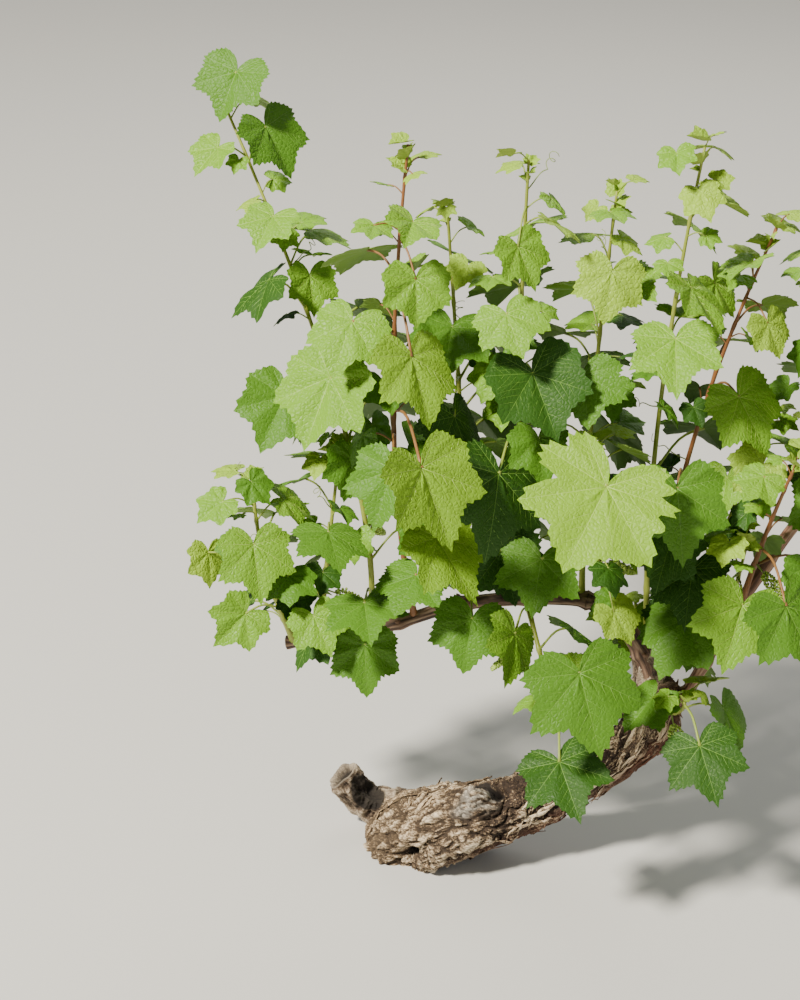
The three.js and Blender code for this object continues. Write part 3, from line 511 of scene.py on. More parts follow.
class Space:
    """What is taken in the crown: sample places, and for each thing its middle, size and reach."""

    def __init__(self, capacity=4000):
        self.count = 0
        self.middle = np.zeros((capacity, 3))
        self.size = np.zeros(capacity)
        self.reach = np.zeros(capacity)
        self.places = []

    def take(self, places, reach):
        """Adds a thing."""
        self.middle[self.count], self.size[self.count] = hull(places)
        self.reach[self.count] = reach
        self.places.append(places)
        self.count += 1

    def free(self, places, reach):
        """Whether a thing is clear of all others: first by its round hull, then place by place."""
        middle, size = hull(places)
        n = self.count
        apart = np.linalg.norm(self.middle[:n] - middle, axis=1)
        near = np.flatnonzero(apart <= self.size[:n] + size + self.reach[:n] + reach)
        if not len(near):
            return True
        others = np.concatenate([self.places[k] for k in near])
        limits = np.repeat(self.reach[near] + reach, [len(self.places[k]) for k in near]) ** 2
        close = ((others - middle) ** 2).sum(1) < (size + np.sqrt(limits)) ** 2
        others, limits = others[close] - middle, limits[close]
        own = places - middle
        squares = (own**2).sum(1)[:, None] + (others**2).sum(1) - 2 * own @ others.T
        return bool((squares >= limits).all())


def bent(u, v, fold, arch, bend):
    """Height of a blade over its plane, in midrib lengths: fold * |v| - arch * v^2 - bend * u^2."""
    return fold * np.abs(v) - arch * v**2 - bend * u**2


def blade_places(leaf, u, v):
    """Blade surface: along D and W by the plan, and along N by the bent height."""
    D, W, N = blade_frame(leaf.turn, leaf.droop, leaf.roll)
    height = bent(u, v, *(leaf[name] for name in BENDS))
    return leaf.seat + leaf.length * (u[:, None] * D + v[:, None] * W + height[:, None] * N)


def petiole_line(leaf):
    """Smooth line from the root to the seat, its middle raised by a share of the span."""
    middle = (leaf.root + leaf.seat) / 2
    middle[2] += PETIOLE.lift * np.linalg.norm(leaf.seat - leaf.root)
    return smooth_line([leaf.root, middle, leaf.seat])


def leaf_things(leaf):
    """The blade's samples with their reach, and the petiole's once it is free of the stem."""
    blade = blade_places(leaf, BLADE_GRID[:, 0], BLADE_GRID[:, 1])
    span = np.linalg.norm(leaf.seat - leaf.root)
    start = min(PETIOLE_FREE.share, PETIOLE_FREE.length / span)
    petiole = along(petiole_line(leaf), start, 1, LINE_STEP)
    return [(blade, SAMPLE_COVER * SAMPLE * leaf.length + GAP.blade),
            (petiole, PETIOLE.radius + GAP.petiole)]


def take_wood(space):
    """The limbs take their own room first."""
    for k in range(2, TRUNK_RINGS + 1):
        fraction = k / TRUNK_RINGS
        space.take(TRUNK_LINE(np.array([fraction])), between(TRUNK_RADII, fraction) + 2 * GAP.trunk)
    for limb in LIMBS.values():
        places = along(limb.line, limb.start, limb.end, LINE_STEP)
        space.take(places, limb.radii[0] * (1 + SWELL.height) + GAP.cane)
    for limb in (SPUR, STUB):
        space.take(along(limb.line, 0, 1, LINE_STEP), limb.radii[0] + GAP.cane)

# %% Growing one leaf or cluster
GROWN_ON = {**LIMBS, "trunk": Sizes(line=TRUNK_LINE, start=0, end=1), "spur": Sizes(**SPUR, start=0, end=1)}


def stem_line(shoot):
    """Stem from its foot to its tip; the control place is the middle plus twice the bow."""
    name, place, tip_reach, bow = shoot[:4]
    foot = GROWN_ON[name].line(on_limb(GROWN_ON[name], place))
    tip = foot + np.array(tip_reach, float)
    return bowed_line(foot, (foot + tip) * 0.5 + 2 * np.array(bow, float), tip)


def grow_leaf(largest, leaves, line, random, order, spread, rule):
    """A leaf of the rule: smaller at both ends of the shoot, ranked left and right, hung by its petiole."""
    stray = rule.stray * (random() - 0.5)
    fraction = min(1, rule.lowest + (1 - rule.lowest) * (order + 0.5) / leaves + stray)
    young = max(0, (fraction - rule.full) / (1 - rule.full))
    if fraction < rule.full:
        size = rule.foot_size + (1 - rule.foot_size) * fraction / rule.full
    else:
        size = 1 - rule.tip_loss * young ** rule.tip_curve
    length = largest * size * drawn(rule.size, random)
    heading = (-90 if order % 2 == 0 else 90) + spread * (random() - 0.5)
    rise = drawn(rule.rise, random)
    petiole = rule.petiole_least + length * drawn(rule.petiole, random)
    root = line(fraction)
    return Sizes(
        root=root, seat=root + petiole * pointing(heading, rise), fraction=fraction, length=length,
        turn=heading + drawn(rule.swing, random),
        droop=drawn(rule.droop, random) - rule.young_lift * young,
        roll=drawn(rule.roll, random), **{name: drawn(rule[name], random) for name in BENDS},
    )


def hang_shown(shown, line, random, loose):
    """A shown leaf, moved within its slack by a share that grows with each try."""
    place, seat, turn, droop, roll, length, tint = shown
    slip = lambda amount: 2 * SHOWN_RULE[amount] * loose * (random() - 0.5)
    fraction = min(1, max(SHOWN_RULE.lowest, place + slip("along")))
    return Sizes(
        root=line(fraction), fraction=fraction, tint=tint, shown=True,
        seat=np.array([value + slip("seat") for value in seat]),
        turn=turn + slip("angle"), droop=droop + slip("angle"), roll=roll + slip("angle"),
        length=length * (1 - SHOWN_RULE.shrink * loose),
        **{name: drawn(SHOWN_RULE[name], random) for name in BENDS},
    )


def grow_cluster(line, random):
    """A flower cluster low on the shoot: where it starts and which way it hangs."""
    root = line(drawn(CLUSTER.along, random))
    heading = 360 * random()
    return Sizes(root=root, axis=pointing(heading, drawn(CLUSTER.slope, random)))


def cluster_places(cluster):
    """Places along the body of a cluster."""
    ends = [CLUSTER.stalk + CLUSTER.radius, CLUSTER.stalk + CLUSTER.length]
    start, end = (cluster.root + distance * cluster.axis for distance in ends)
    count = math.ceil((ends[1] - ends[0]) / LINE_STEP)
    return start + (end - start) * np.arange(count + 1)[:, None] / count


# %% Growing the crown
def within_crown(places):
    """Whether places keep above the ground and near the row."""
    return bool((places[:, 2] > LOWEST_LEAF).all() and (np.abs(places[:, 1]) < DEEPEST_LEAF).all())


def try_leaf(space, rows, leaf, bounded):
    """Takes the leaf's room if it is free, and says whether it was."""
    things = leaf_things(leaf)
    if bounded and not within_crown(things[0][0]):
        return False
    if not all(space.free(*thing) for thing in things):
        return False
    rows.leaves.append(leaf)
    for thing in things:
        space.take(*thing)
    return True


def grow_leaves(space, rows, largest, count, random, rule):
    """The leaves of a shoot in turn, each tried in a wider and wider spread until it finds room."""
    for order in range(count):
        for attempt in range(rule.tries):
            spread = rule.spread + rule.widen * attempt
            leaf = grow_leaf(largest, count, rows.line, random, order, spread, rule)
            if try_leaf(space, rows, leaf, bounded=True):
                break


def grow_crown(space):
    """The shown leaves, largest first, then the rest and one cluster shoot by shoot."""
    take_wood(space)
    crown = {name: Sizes(line=stem_line(shoot), leaves=[], clusters=[]) for name, shoot in SHOOTS.items()}
    for rows in crown.values():
        space.take(along(rows.line, STEM_FREE, 1, LINE_STEP), STEM.foot + GAP.stem)
    shown_leaves = [(name, shown) for name in SHOOTS for shown in SHOWN.get(name, [])]
    for name, shown in sorted(shown_leaves, key=lambda pair: -pair[1][5]):
        random = draws(1000 * shown[5] + shown[1][2])
        for attempt in range(SHOWN_RULE.tries):
            leaf = hang_shown(shown, crown[name].line, random, attempt / SHOWN_RULE.tries)
            if try_leaf(space, crown[name], leaf, bounded=False):
                break
    for name, rows in crown.items():
        leaves, largest, seed = SHOOTS[name][4:]
        random = draws(seed)
        grow_leaves(space, rows, largest, leaves, random, RULE)
        for attempt in range(RULE.tries):
            cluster = grow_cluster(rows.line, random)
            places = cluster_places(cluster)
            if within_crown(places) and space.free(places, CLUSTER.radius + GAP.cluster):
                rows.clusters.append(cluster)
                space.take(places, CLUSTER.radius + GAP.cluster)
                break
    return crown


def count_leaves(part):
    """Number of leaves on all the shoots."""
    return sum(len(rows.leaves) for rows in part.values())


space = Space()
crown = grow_crown(space)
print("leaves of the rule:", count_leaves(crown))

# %% [markdown]
# ## Side shoots and tips
# Between the large leaves of a real shoot sit the small ones of its side shoots, and its tip ends in
# a tuft of unfolding leaves. The frame is too coarse for them. They follow the same rule with smaller
# sizes and their own seeds, and they take only the room that the large leaves have left.

# %% Finer leaves in the room that is left
FINE_RULE = Sizes(
    RULE, lowest=0.05, stray=0.09, full=0.35, foot_size=0.8, tip_loss=0.5, size=[0.7, 0.6],
    petiole=[0.5, 0.45], petiole_least=7, swing=[-70, 140], droop=[16, 56], roll=[-35, 70],
    spread=150, widen=22, tries=9,
)
FINE = Sizes(share=0.5, per_leaf=1.7, seed=1000)
TIP = Sizes(
    leaves=5, start=0.93, stray=40, length=[9, 11], rise=[35, 45], petiole=[4, 5], least_droop=10,
    roll=40, fold=[0.5, 0.3], arch=0.1, bend=[0, 0.15], reach=0.5, seed=5000,
)


def grow_fine(space, crown):
    """Second pass of the rule with half-sized leaves, tried less often."""
    fine = {}
    for name, rows in crown.items():
        leaves, largest, seed = SHOOTS[name][4:]
        fine[name] = Sizes(line=rows.line, leaves=[])
        count = round(leaves * FINE.per_leaf)
        grow_leaves(space, fine[name], largest * FINE.share, count, draws(seed + FINE.seed), FINE_RULE)
    return fine


def tuft_leaf(line, random, order):
    """A very small leaf at the tip, steeply set and folded about its midrib."""
    fraction = TIP.start + (1 - TIP.start) * (order + 1) / TIP.leaves
    heading = GOLDEN_TURN * order + TIP.stray * random()
    rise = drawn(TIP.rise, random)
    root = line(fraction)
    return Sizes(
        root=root, fraction=fraction, tint="young", tuft=True,
        seat=root + drawn(TIP.petiole, random) * pointing(heading, rise),
        turn=heading, droop=TIP.least_droop - rise * random(), roll=TIP.roll * (random() - 0.5),
        length=drawn(TIP.length, random),
        fold=drawn(TIP.fold, random), arch=TIP.arch, bend=drawn(TIP.bend, random),
    )


def grow_tips(crown, fine):
    """A tuft on each tip, of the leaves that are clear of the larger blades."""
    blades, tips = Space(), {}
    for leaf in (leaf for part in (crown, fine) for rows in part.values() for leaf in rows.leaves):
        blades.take(*leaf_things(leaf)[0])
    for name, rows in crown.items():
        random = draws(SHOOTS[name][6] + TIP.seed)
        tuft = [tuft_leaf(rows.line, random, order) for order in range(TIP.leaves)]
        tips[name] = Sizes(leaves=[leaf for leaf in tuft if blades.free(leaf_things(leaf)[0][0], TIP.reach)])
    return tips


fine = grow_fine(space, crown)
tips = grow_tips(crown, fine)
print("finer leaves:", count_leaves(fine), "in tufts:", count_leaves(tips))

# %% [markdown]
# ## The leaf itself
# A vine leaf is a rounded blade with five shallow pointed lobes, close teeth and an open bay where
# the petiole comes in. Its main veins run from that bay to the lobes, with side veins between them,
# and the blade bulges between the veins. It could be cut from a picture on a card, but then it has no
# edge and no thickness. Here it is a disc on polar lines: rings out from the petiole, one line to
# each tooth and each notch, so the teeth cost no extra points and the main veins lie on lines.

# %% Leaf pattern: outline, teeth and veins
LOBES = [
    [0, 1.0], [6, 0.94], [13, 0.85], [20, 0.775], [27, 0.735], [33, 0.745], [39, 0.79], [46, 0.845],
    [52.5, 0.88], [58, 0.825], [64, 0.76], [70, 0.70], [76, 0.665], [82, 0.665], [89, 0.695],
    [97.5, 0.72], [103, 0.685], [109, 0.65], [115, 0.62], [121, 0.60], [128, 0.58], [135, 0.56],
    [141, 0.50], [147, 0.42], [153, 0.33], [158, 0.25], [164, 0.16], [171, 0.08], [180, 0.03],
]
MAIN_VEINS = [0, 52.5, -52.5, 97.5, -97.5, 135, -135]
SIDE_VEIN = Sizes(
    turn=46, curl=16, spaces=[0.16, 0.3, 0.44, 0.58, 0.71, 0.83], margin=0.93, apart=0.035,
    shortest=0.04, longest=0.75, lengths=36, least=3,
)
TOOTH = Sizes(depth=0.058, vary=0.55, power=7, bay=160, bay_share=0.2)
WOBBLE = Sizes(size=0.025, teeth=7)
LOBING = Sizes(least=-0.12, most=0.32, seed=20)
PUCKER = Sizes(height=0.024, width=0.042, fade=6, swell=0.06, swell_width=0.17, vary=(0.7, 1.3))
THICKNESS = Sizes(middle=0.9, loss=0.65)
VEIN = Sizes(main=0.0125, side=0.0056, proud=0.34, sunk=0.5, reach=0.95, long=0.985, taper=0.72)
LEVELS = {
    "full": Sizes(sides=96, rings=14, under=4, steps=7, sides_veins=5),
    "plain": Sizes(sides=72, rings=8, under=3, steps=4, sides_veins=4),
    "small": Sizes(sides=48, rings=4, under=2, steps=3, sides_veins=0),
}


def edge_radius(turn):
    """Radius of the untoothed edge at a turn in degrees, in midrib lengths."""
    lobes = np.array(LOBES)
    return np.interp(np.abs((turn + 180) % 360 - 180), lobes[:, 0], lobes[:, 1])


def polar(radius, turn):
    """Plan places from a radius and a turn in degrees."""
    return np.stack([radius * np.cos(np.radians(turn)), radius * np.sin(np.radians(turn))], -1)


def turn_of(places):
    """Turn in degrees of plan places."""
    return np.degrees(np.arctan2(places[..., 1], places[..., 0]))


def vein_lines(level):
    """Main veins run straight to the lobes; side veins leave them and curl towards the tip."""
    step = 360 / level.sides
    mains = [step * round(turn / step) for turn in MAIN_VEINS]
    s = np.linspace(0, 1, level.steps)
    lines = [(polar(VEIN.long * edge_radius(turn) * s, turn), VEIN.main) for turn in mains]
    for turn in mains:
        for space_on in SIDE_VEIN.spaces[: level.sides_veins]:
            for side in (1, -1):
                lines += side_vein(turn, space_on * edge_radius(turn), side, mains, s)
    return lines


def side_vein(turn, start, side, mains, s):
    """One side vein, which ends at the margin or where it comes near another main vein."""
    def reached(length):
        curl = SIDE_VEIN.turn - SIDE_VEIN.curl * length
        return polar(start, turn) + polar(length, turn + side * curl)

    lengths = np.linspace(SIDE_VEIN.shortest, SIDE_VEIN.longest, SIDE_VEIN.lengths)
    ends = reached(lengths)
    clear = np.hypot(*ends.T) < SIDE_VEIN.margin * edge_radius(turn_of(ends))
    for other in mains:
        if other != turn:
            ray = polar(1.0, other)
            beside = np.abs(ends[:, 0] * ray[1] - ends[:, 1] * ray[0])
            clear &= (beside > SIDE_VEIN.apart) | (ends @ ray < 0)
    count = len(lengths) if clear.all() else int(np.argmin(clear))
    return [(reached(lengths[count - 1] * s), VEIN.side)] if count >= SIDE_VEIN.least else []


def vein_distance(places, lines):
    """Distance from each place to the nearest chord of any vein, kept between the chord's ends."""
    start = np.concatenate([line[:-1] for line, _ in lines])
    chord = np.concatenate([line[1:] for line, _ in lines]) - start
    offset = places[:, None] - start[None]
    share = np.clip((offset * chord).sum(-1) / (chord**2).sum(-1), 0, 1)
    return np.linalg.norm(offset - share[..., None] * chord, axis=-1).min(1)


def ring_table(values, rings, sides):
    """Values of the middle and of the rings as a table; the middle fills the first row."""
    return np.vstack([np.full(sides, values[0]), values[1:].reshape(rings, sides)])


def between_rings(values, rings, sides, shares):
    """Values of the upper rings read at the middle and at the shares of the lower rings."""
    table = ring_table(values, rings, sides)
    low = np.floor(shares * rings).astype(int)
    part = (shares * rings - low)[:, None]
    return np.concatenate([[values[0]], ((1 - part) * table[low] + part * table[low + 1]).ravel()])


def four_corners(a, b, corner):
    """Value between four corners: by a from row to row, by b from column to column."""
    near, far = ((1 - b) * corner(k, 0) + b * corner(k, 1) for k in (0, 1))
    return (1 - a) * near + a * far


def edge_of(sides, seed, bites):
    """The turns of a leaf's lines, and its edge: a slow wobble, bites, and a tooth on every other line."""
    turn = -180 + 360 * np.arange(sides) / sides
    random = np.random.default_rng(seed)
    tooth = TOOTH.depth * (1 + TOOTH.vary * random.uniform(-1, 1, sides)) * (np.arange(sides) % 2)
    for main in MAIN_VEINS:
        tooth[int(round((main + 180) / 360 * sides)) % sides] = 0
    tooth[np.abs(turn) > TOOTH.bay] *= TOOTH.bay_share
    smoothing = np.ones(WOBBLE.teeth) / (0.5 * WOBBLE.teeth)
    draws_round = random.uniform(-1, 1, sides + WOBBLE.teeth - 1)
    wobble = 1 + WOBBLE.size * np.convolve(draws_round, smoothing, "valid")
    lobing = np.random.default_rng(seed + LOBING.seed).uniform(LOBING.least, LOBING.most)
    wobble *= edge_radius(turn) ** lobing
    for bite_turn, width, depth in bites:
        wobble *= 1 - depth * bell(turn - bite_turn, width)
    return turn, wobble, tooth, random


def leaf_pattern(level, seed, bites=()):
    """Closed blade in midrib lengths: rings above, fewer below, one shared toothed edge, and the veins."""
    sides, rings, under = level.sides, level.rings, level.under
    turn, wobble, tooth, random = edge_of(sides, seed, bites)

    def disc(shares):
        radius = shares[:, None] * edge_radius(turn) * wobble * (1 - tooth * shares[:, None] ** TOOTH.power)
        return np.vstack([[[0, 0]], polar(radius, turn).reshape(-1, 2)])

    shares, below_shares = np.arange(1, rings + 1) / rings, np.arange(1, under) / under
    above, below = disc(shares), disc(below_shares)
    lines = vein_lines(level)
    bulge = PUCKER.height * (1 - bell(vein_distance(above, lines), PUCKER.width))
    fading = 1 - np.concatenate([[0], np.repeat(shares, sides)]) ** PUCKER.fade
    bulge *= random.uniform(*PUCKER.vary, len(bulge)) * fading
    apart = vein_distance(above, lines[: len(MAIN_VEINS)])
    swell = PUCKER.swell * (1 - bell(apart, PUCKER.swell_width))
    thinning = np.repeat(THICKNESS.middle - THICKNESS.loss * below_shares**3, sides)
    first_below = len(above)
    numbers = np.arange(rings * sides).reshape(rings, sides)
    table_below = np.vstack([first_below + 1 + numbers[: under - 1], 1 + numbers[-1:]])
    quads = [quads_of(1 + numbers)[:, ::-1], quads_of(table_below)]
    fans = [fan(0, 1, sides, True), fan(first_below, first_below + 1, sides, False)]
    return Sizes(
        plan=np.vstack([above, below]),
        bulge=np.concatenate([bulge, np.zeros(len(below))]),
        swell=np.concatenate([swell, between_rings(swell, rings, sides, below_shares)]),
        rim=np.arange(len(above) + len(below)) >= 1 + (rings - 1) * sides,
        offset=np.concatenate([np.zeros(len(above)), [-THICKNESS.middle], -thinning]),
        quads=np.vstack(quads), fans=np.vstack(fans),
        quads_side=np.repeat([0, 1], [len(faces) for faces in quads]),
        fans_side=np.repeat([0, 1], [len(faces) for faces in fans]),
        veins=vein_pattern(lines, bulge, swell, rings, sides, VEIN.reach * edge_radius(turn) * wobble),
    )


def vein_pattern(lines, bulge, swell, rings, sides, limit):
    """Three-sided tapering ribs along the veins, seated on the blade and kept inside its edge."""
    line = np.stack([line for line, _ in lines])
    allowed = np.interp((turn_of(line) + 180) * sides / 360, np.arange(sides + 1), np.append(limit, limit[0]))
    line *= np.minimum(1, allowed / np.maximum(np.hypot(line[..., 0], line[..., 1]), 1e-6))[..., None]
    width = np.array([width for _, width in lines])[:, None]
    steps = line.shape[1]
    heading = unit(np.gradient(line, axis=1))
    aside = np.stack([-heading[..., 1], heading[..., 0]], -1)
    half = width * (1 - VEIN.taper * np.linspace(0, 1, steps))
    corners = np.stack([line + aside * half[..., None], line, line - aside * half[..., None]], 2)
    angle = turn_of(line)
    radius = np.hypot(line[..., 0], line[..., 1])
    ring = np.clip(radius / np.maximum(edge_radius(angle), 1e-6) * rings, 0, rings - 1e-6)
    column = (angle + 180) / 360 * sides
    low_ring, low_column = np.floor(ring).astype(int), np.floor(column).astype(int)

    def read(values):
        table = ring_table(values, rings, sides)
        corner = lambda k, j: table[low_ring + k, (low_column + j) % sides]
        return np.repeat(four_corners(ring - low_ring, column - low_column, corner).ravel(), 3)

    proud = VEIN.proud * (width / VEIN.main) ** 0.5 * np.ones(steps)
    sunk = np.full_like(proud, -VEIN.sunk)
    last = (steps - 1) * 3
    caps = np.array([[0, 2, 1], [last, last + 1, last + 2]])
    return Sizes(
        plan=corners.reshape(-1, 2), offset=np.stack([sunk, proud, sunk], 2).ravel(),
        bulge=read(bulge), swell=read(swell),
        quads=repeat_faces(quads_of(np.arange(steps * 3).reshape(steps, 3)), len(lines), steps * 3),
        fans=repeat_faces(caps, len(lines), steps * 3),
    )


# Each bite: turn, width, depth
BITES = [
    (-72, 7, 0.32), (66, 4, 0.18), (84, 2.5, 0.26), (104, 3, 0.28), (121, 3, 0.16), (-112, 4, 0.22),
    (-30, 3, 0.08),
]
PATTERN_SEEDS = range(4)
RAGGED_SEED = 9
patterns = {name: [leaf_pattern(level, seed) for seed in PATTERN_SEEDS] for name, level in LEVELS.items()}
patterns["ragged"] = [leaf_pattern(LEVELS["full"], RAGGED_SEED, BITES)]
for name, (pattern, *_) in patterns.items():
    faces = [2 * len(shape.quads) + len(shape.fans) for shape in (pattern, pattern.veins)]
    print(name, "leaf:", faces[0], "triangles, veins:", faces[1])

# %% [markdown]
# ## Hanging the leaves
# All the leaves that share a pattern are placed in one step: the plan is stretched by each midrib,
# laid on the leaf's own three directions, and folded, arched and bent as the rule says. A slow wave
# round the edge and the bulges between the veins are added, and they keep to the leaf's own room.

# %% Placing many leaves at once
WAVES = Sizes(counts=[2, 5], heights=[0.05, 0.03], swell=[0.55, 0.85])
WIDTHS = [0.94, 0.12]
LOOKS_SEED = 77
TINTS = ["deep", "mid", "fresh", "young", "pale"]
SIZES = Sizes(ragged=100, full=55, small=40)
RIPENESS = Sizes(stray=0.25, young=0.92, fresh=0.72, deep=0.34, mid=0.8)


def level_of(leaf):
    """The largest leaf is torn; large leaves that show get the full pattern, small ones the small one."""
    if leaf.length > SIZES.ragged:
        return "ragged"
    if leaf.length < SIZES.small:
        return "small"
    return "full" if leaf.get("shown") and leaf.length > SIZES.full else "plain"


def tint_of(leaf, random):
    """Young leaves near the tips are yellow-green; lower down the tint is drawn by lot."""
    if "tint" in leaf:
        return leaf.tint
    ripe = leaf.fraction + RIPENESS.stray * (random() - 0.5)
    for tint in ("young", "fresh"):
        if ripe > RIPENESS[tint]:
            return tint
    lot = random()
    return "deep" if lot < RIPENESS.deep else "mid" if lot < RIPENESS.mid else "fresh"


def all_leaves():
    """Every leaf with its tint, level, pattern, width and edge wave."""
    found = []
    for name, rows in (pair for part in (crown, fine, tips) for pair in part.items()):
        random = draws(SHOOTS[name][6] + LOOKS_SEED)
        for leaf in rows.leaves:
            leaf.update(shoot=name, tint=tint_of(leaf, random), level=level_of(leaf))
            leaf.pattern = int(len(patterns[leaf.level]) * random())
            leaf.update(width=drawn(WIDTHS, random), wave=random(), phase=TURN * random())
            leaf.swell = drawn(WAVES.swell, random)
            found.append(leaf)
    return found


def column_of(leaves, name):
    """One value of every leaf as an array."""
    return np.array([leaf[name] for leaf in leaves], float)


def frames_of(leaves):
    """Directions D, W and N of many leaves."""
    return blade_frame(*(column_of(leaves, name) for name in ("turn", "droop", "roll")))


def hang(pattern, leaves):
    """Points of all the leaves: seat + L * (u D + v W) + N * (L * height + offset)."""
    pick = lambda name: column_of(leaves, name)[:, None]
    D, W, N = (part[:, None] for part in frames_of(leaves))
    u, v = pattern.plan.T
    length = pick("length")
    radius, angle = np.hypot(u, v), np.arctan2(v, u)
    wave = sum(
        share * pick("wave") * radius**2 * np.sin(count * angle + count * pick("phase"))
        for count, share in zip(WAVES.counts, WAVES.heights))
    height = bent(u, v, *map(pick, BENDS)) + wave + pattern.bulge + pick("swell") * pattern.swell
    height = length * height + pattern.offset
    flat = length[..., None] * (u[:, None] * D + (v * np.ones_like(length) * pick("width"))[..., None] * W)
    return pick("seat") + flat + height[..., None] * N


CELL = Sizes(shift=[0.45, 0.75], size=1.5, margin=0.03, share=0.94)


def leaf_uv(pattern, cells, across_cells, faces):
    """Flat map of one kind of face: each leaf has a square for its upper and one for its under face."""
    local = CELL.share * (pattern.plan[pattern[faces].ravel()] + CELL.shift) / CELL.size
    which = cells[:, None] + np.repeat(pattern[f"{faces}_side"], pattern[faces].shape[1])[None]
    corner = np.stack([which % across_cells, which // across_cells], -1)
    return (((CELL.margin + local)[None] + corner) / across_cells).reshape(-1, 2)


def leaf_blocks(chosen, part):
    """Blades or veins of the chosen leaves; for blades also their flat map, rims and sides."""
    blocks, rims, uv, sides = [], [], Sizes(quads=[], fans=[]), Sizes(quads=[], fans=[])
    across_cells = math.ceil(math.sqrt(2 * len(chosen)))
    for level, number in ((level, number) for level, made in patterns.items() for number in range(len(made))):
        which = [k for k, leaf in enumerate(chosen) if (leaf.level, leaf.pattern) == (level, number)]
        if not which:
            continue
        shape = patterns[level][number]
        shape = shape if part == "blades" else shape.veins
        points = hang(shape, [chosen[k] for k in which])
        faces = (repeat_faces(shape[kind], len(which), points.shape[1]) for kind in ("quads", "fans"))
        blocks.append((points.reshape(-1, 3), *faces))
        if part == "blades":
            rims.append(np.tile(shape.rim, len(which)))
            for kind in ("quads", "fans"):
                uv[kind].append(leaf_uv(shape, 2 * np.array(which), across_cells, kind))
                sides[kind].append(np.tile(shape[f"{kind}_side"], len(which)))
    if part == "veins":
        return joined(blocks)
    looks = Sizes(uv=np.vstack(uv.quads + uv.fans), rim=np.concatenate(rims),
             sides=np.concatenate(sides.quads + sides.fans))
    return joined(blocks), looks


leaves = all_leaves()
print("leaves:", len(leaves), {tint: sum(leaf.tint == tint for leaf in leaves) for tint in TINTS})

# %% [markdown]
# ## Colours of the leaves
# A leaf's green is a plain colour here, dealt out leaf by leaf: deep on old shaded leaves, fresh
# towards the tips, yellow-green on the youngest. What varies over the surface is the fine net of
# veinlets, which breaks up the shine. It is one node group, used by every leaf material.

# %% Node helpers
def add_node(tree, kind, settings=(), **inputs):
    """A shader node with its settings; each input is linked to a socket or set to a value."""
    node = tree.nodes.new(f"ShaderNode{kind}")
    for name, value in dict(settings).items():
        setattr(node, name, value)
    for name, value in inputs.items():
        feed(tree, value, node.inputs[name])
    return node


def feed(tree, value, socket):
    """Links a socket to an input, or sets the input to a plain value."""
    if isinstance(value, bpy.types.NodeSocket):
        tree.links.new(value, socket)
    else:
        socket.default_value = value


def new_material(name, **inputs):
    """A material, its node tree and its Principled shader with some plain values."""
    material = bpy.data.materials.new(name)
    material.use_nodes = True
    shader = material.node_tree.nodes["Principled BSDF"]
    for label, value in inputs.items():
        shader.inputs[label.replace("_", " ")].default_value = value
    return material, material.node_tree, shader


def new_group(name, given, results):
    """A node group with number inputs (label to value) and number outputs, and its first input."""
    group = bpy.data.node_groups.new(name, "ShaderNodeTree")
    for label, value in given.items():
        group.interface.new_socket(label, in_out="INPUT", socket_type="NodeSocketFloat").default_value = value
    for label in results:
        group.interface.new_socket(label, in_out="OUTPUT", socket_type="NodeSocketFloat")
    return group, group.nodes.new("NodeGroupInput").outputs[0]


def finish_group(group, **results):
    """Links the sockets of the results to the group's outputs."""
    end = group.nodes.new("NodeGroupOutput")
    for label, socket in results.items():
        group.links.new(socket, end.inputs[label])
    return group


def maths(tree, operation, first, second):
    """One sum, product or the like; each side is a socket or a number."""
    node = add_node(tree, "Math", {"operation": operation})
    feed(tree, first, node.inputs[0])
    feed(tree, second, node.inputs[1])
    return node.outputs[0]


def ramp(tree, value, stops):
    """Colour ramp through (place, colour) stops."""
    node = add_node(tree, "ValToRGB", Fac=value)
    while len(node.color_ramp.elements) < len(stops):
        node.color_ramp.elements.new(0.5)
    for element, (place, colour) in zip(node.color_ramp.elements, stops):
        element.position = place
        element.color = (*colour, 1)
    return node.outputs[0]


def roughened(tree, shader, noise, gain, roughness):
    """Roughness that varies with a noise: roughness + gain * (noise - 1/2)."""
    feed(tree, maths(tree, "ADD", maths(tree, "MULTIPLY", noise, gain), roughness - 0.5 * gain),
         shader.inputs["Roughness"])


def bumped(tree, shader, height, distance, strength):
    """Bump node from a height socket into the shader's normal."""
    feed(tree, add_node(tree, "Bump", Height=height, Distance=distance, Strength=strength).outputs[0],
         shader.inputs["Normal"])


# %% Leaf materials
NET = Sizes(swell_cells=0.33, swell=0.7, leaf=215.0, stalk=500.0)


def leaf_net_group():
    """Net of veinlets: each cell is a pillow d * (1 - d) from its edge, over a slow swell."""
    group, size = new_group("leaf_net", {"Cells": 260.0}, ["Height", "Dull"])
    place = add_node(group, "TexCoord").outputs["Object"]
    cells = add_node(group, "TexVoronoi", {"feature": "DISTANCE_TO_EDGE"}, Vector=place, Scale=size)
    wide = maths(group, "MULTIPLY", size, NET.swell_cells)
    swell = add_node(group, "TexNoise", Vector=place, Scale=wide, Detail=2).outputs[0]
    distance = maths(group, "MINIMUM", cells.outputs["Distance"], 0.5)
    pillow = maths(group, "MULTIPLY", distance, maths(group, "SUBTRACT", 1.0, distance))
    height = maths(group, "ADD", pillow, maths(group, "MULTIPLY", swell, NET.swell))
    return finish_group(group, Height=height, Dull=swell)


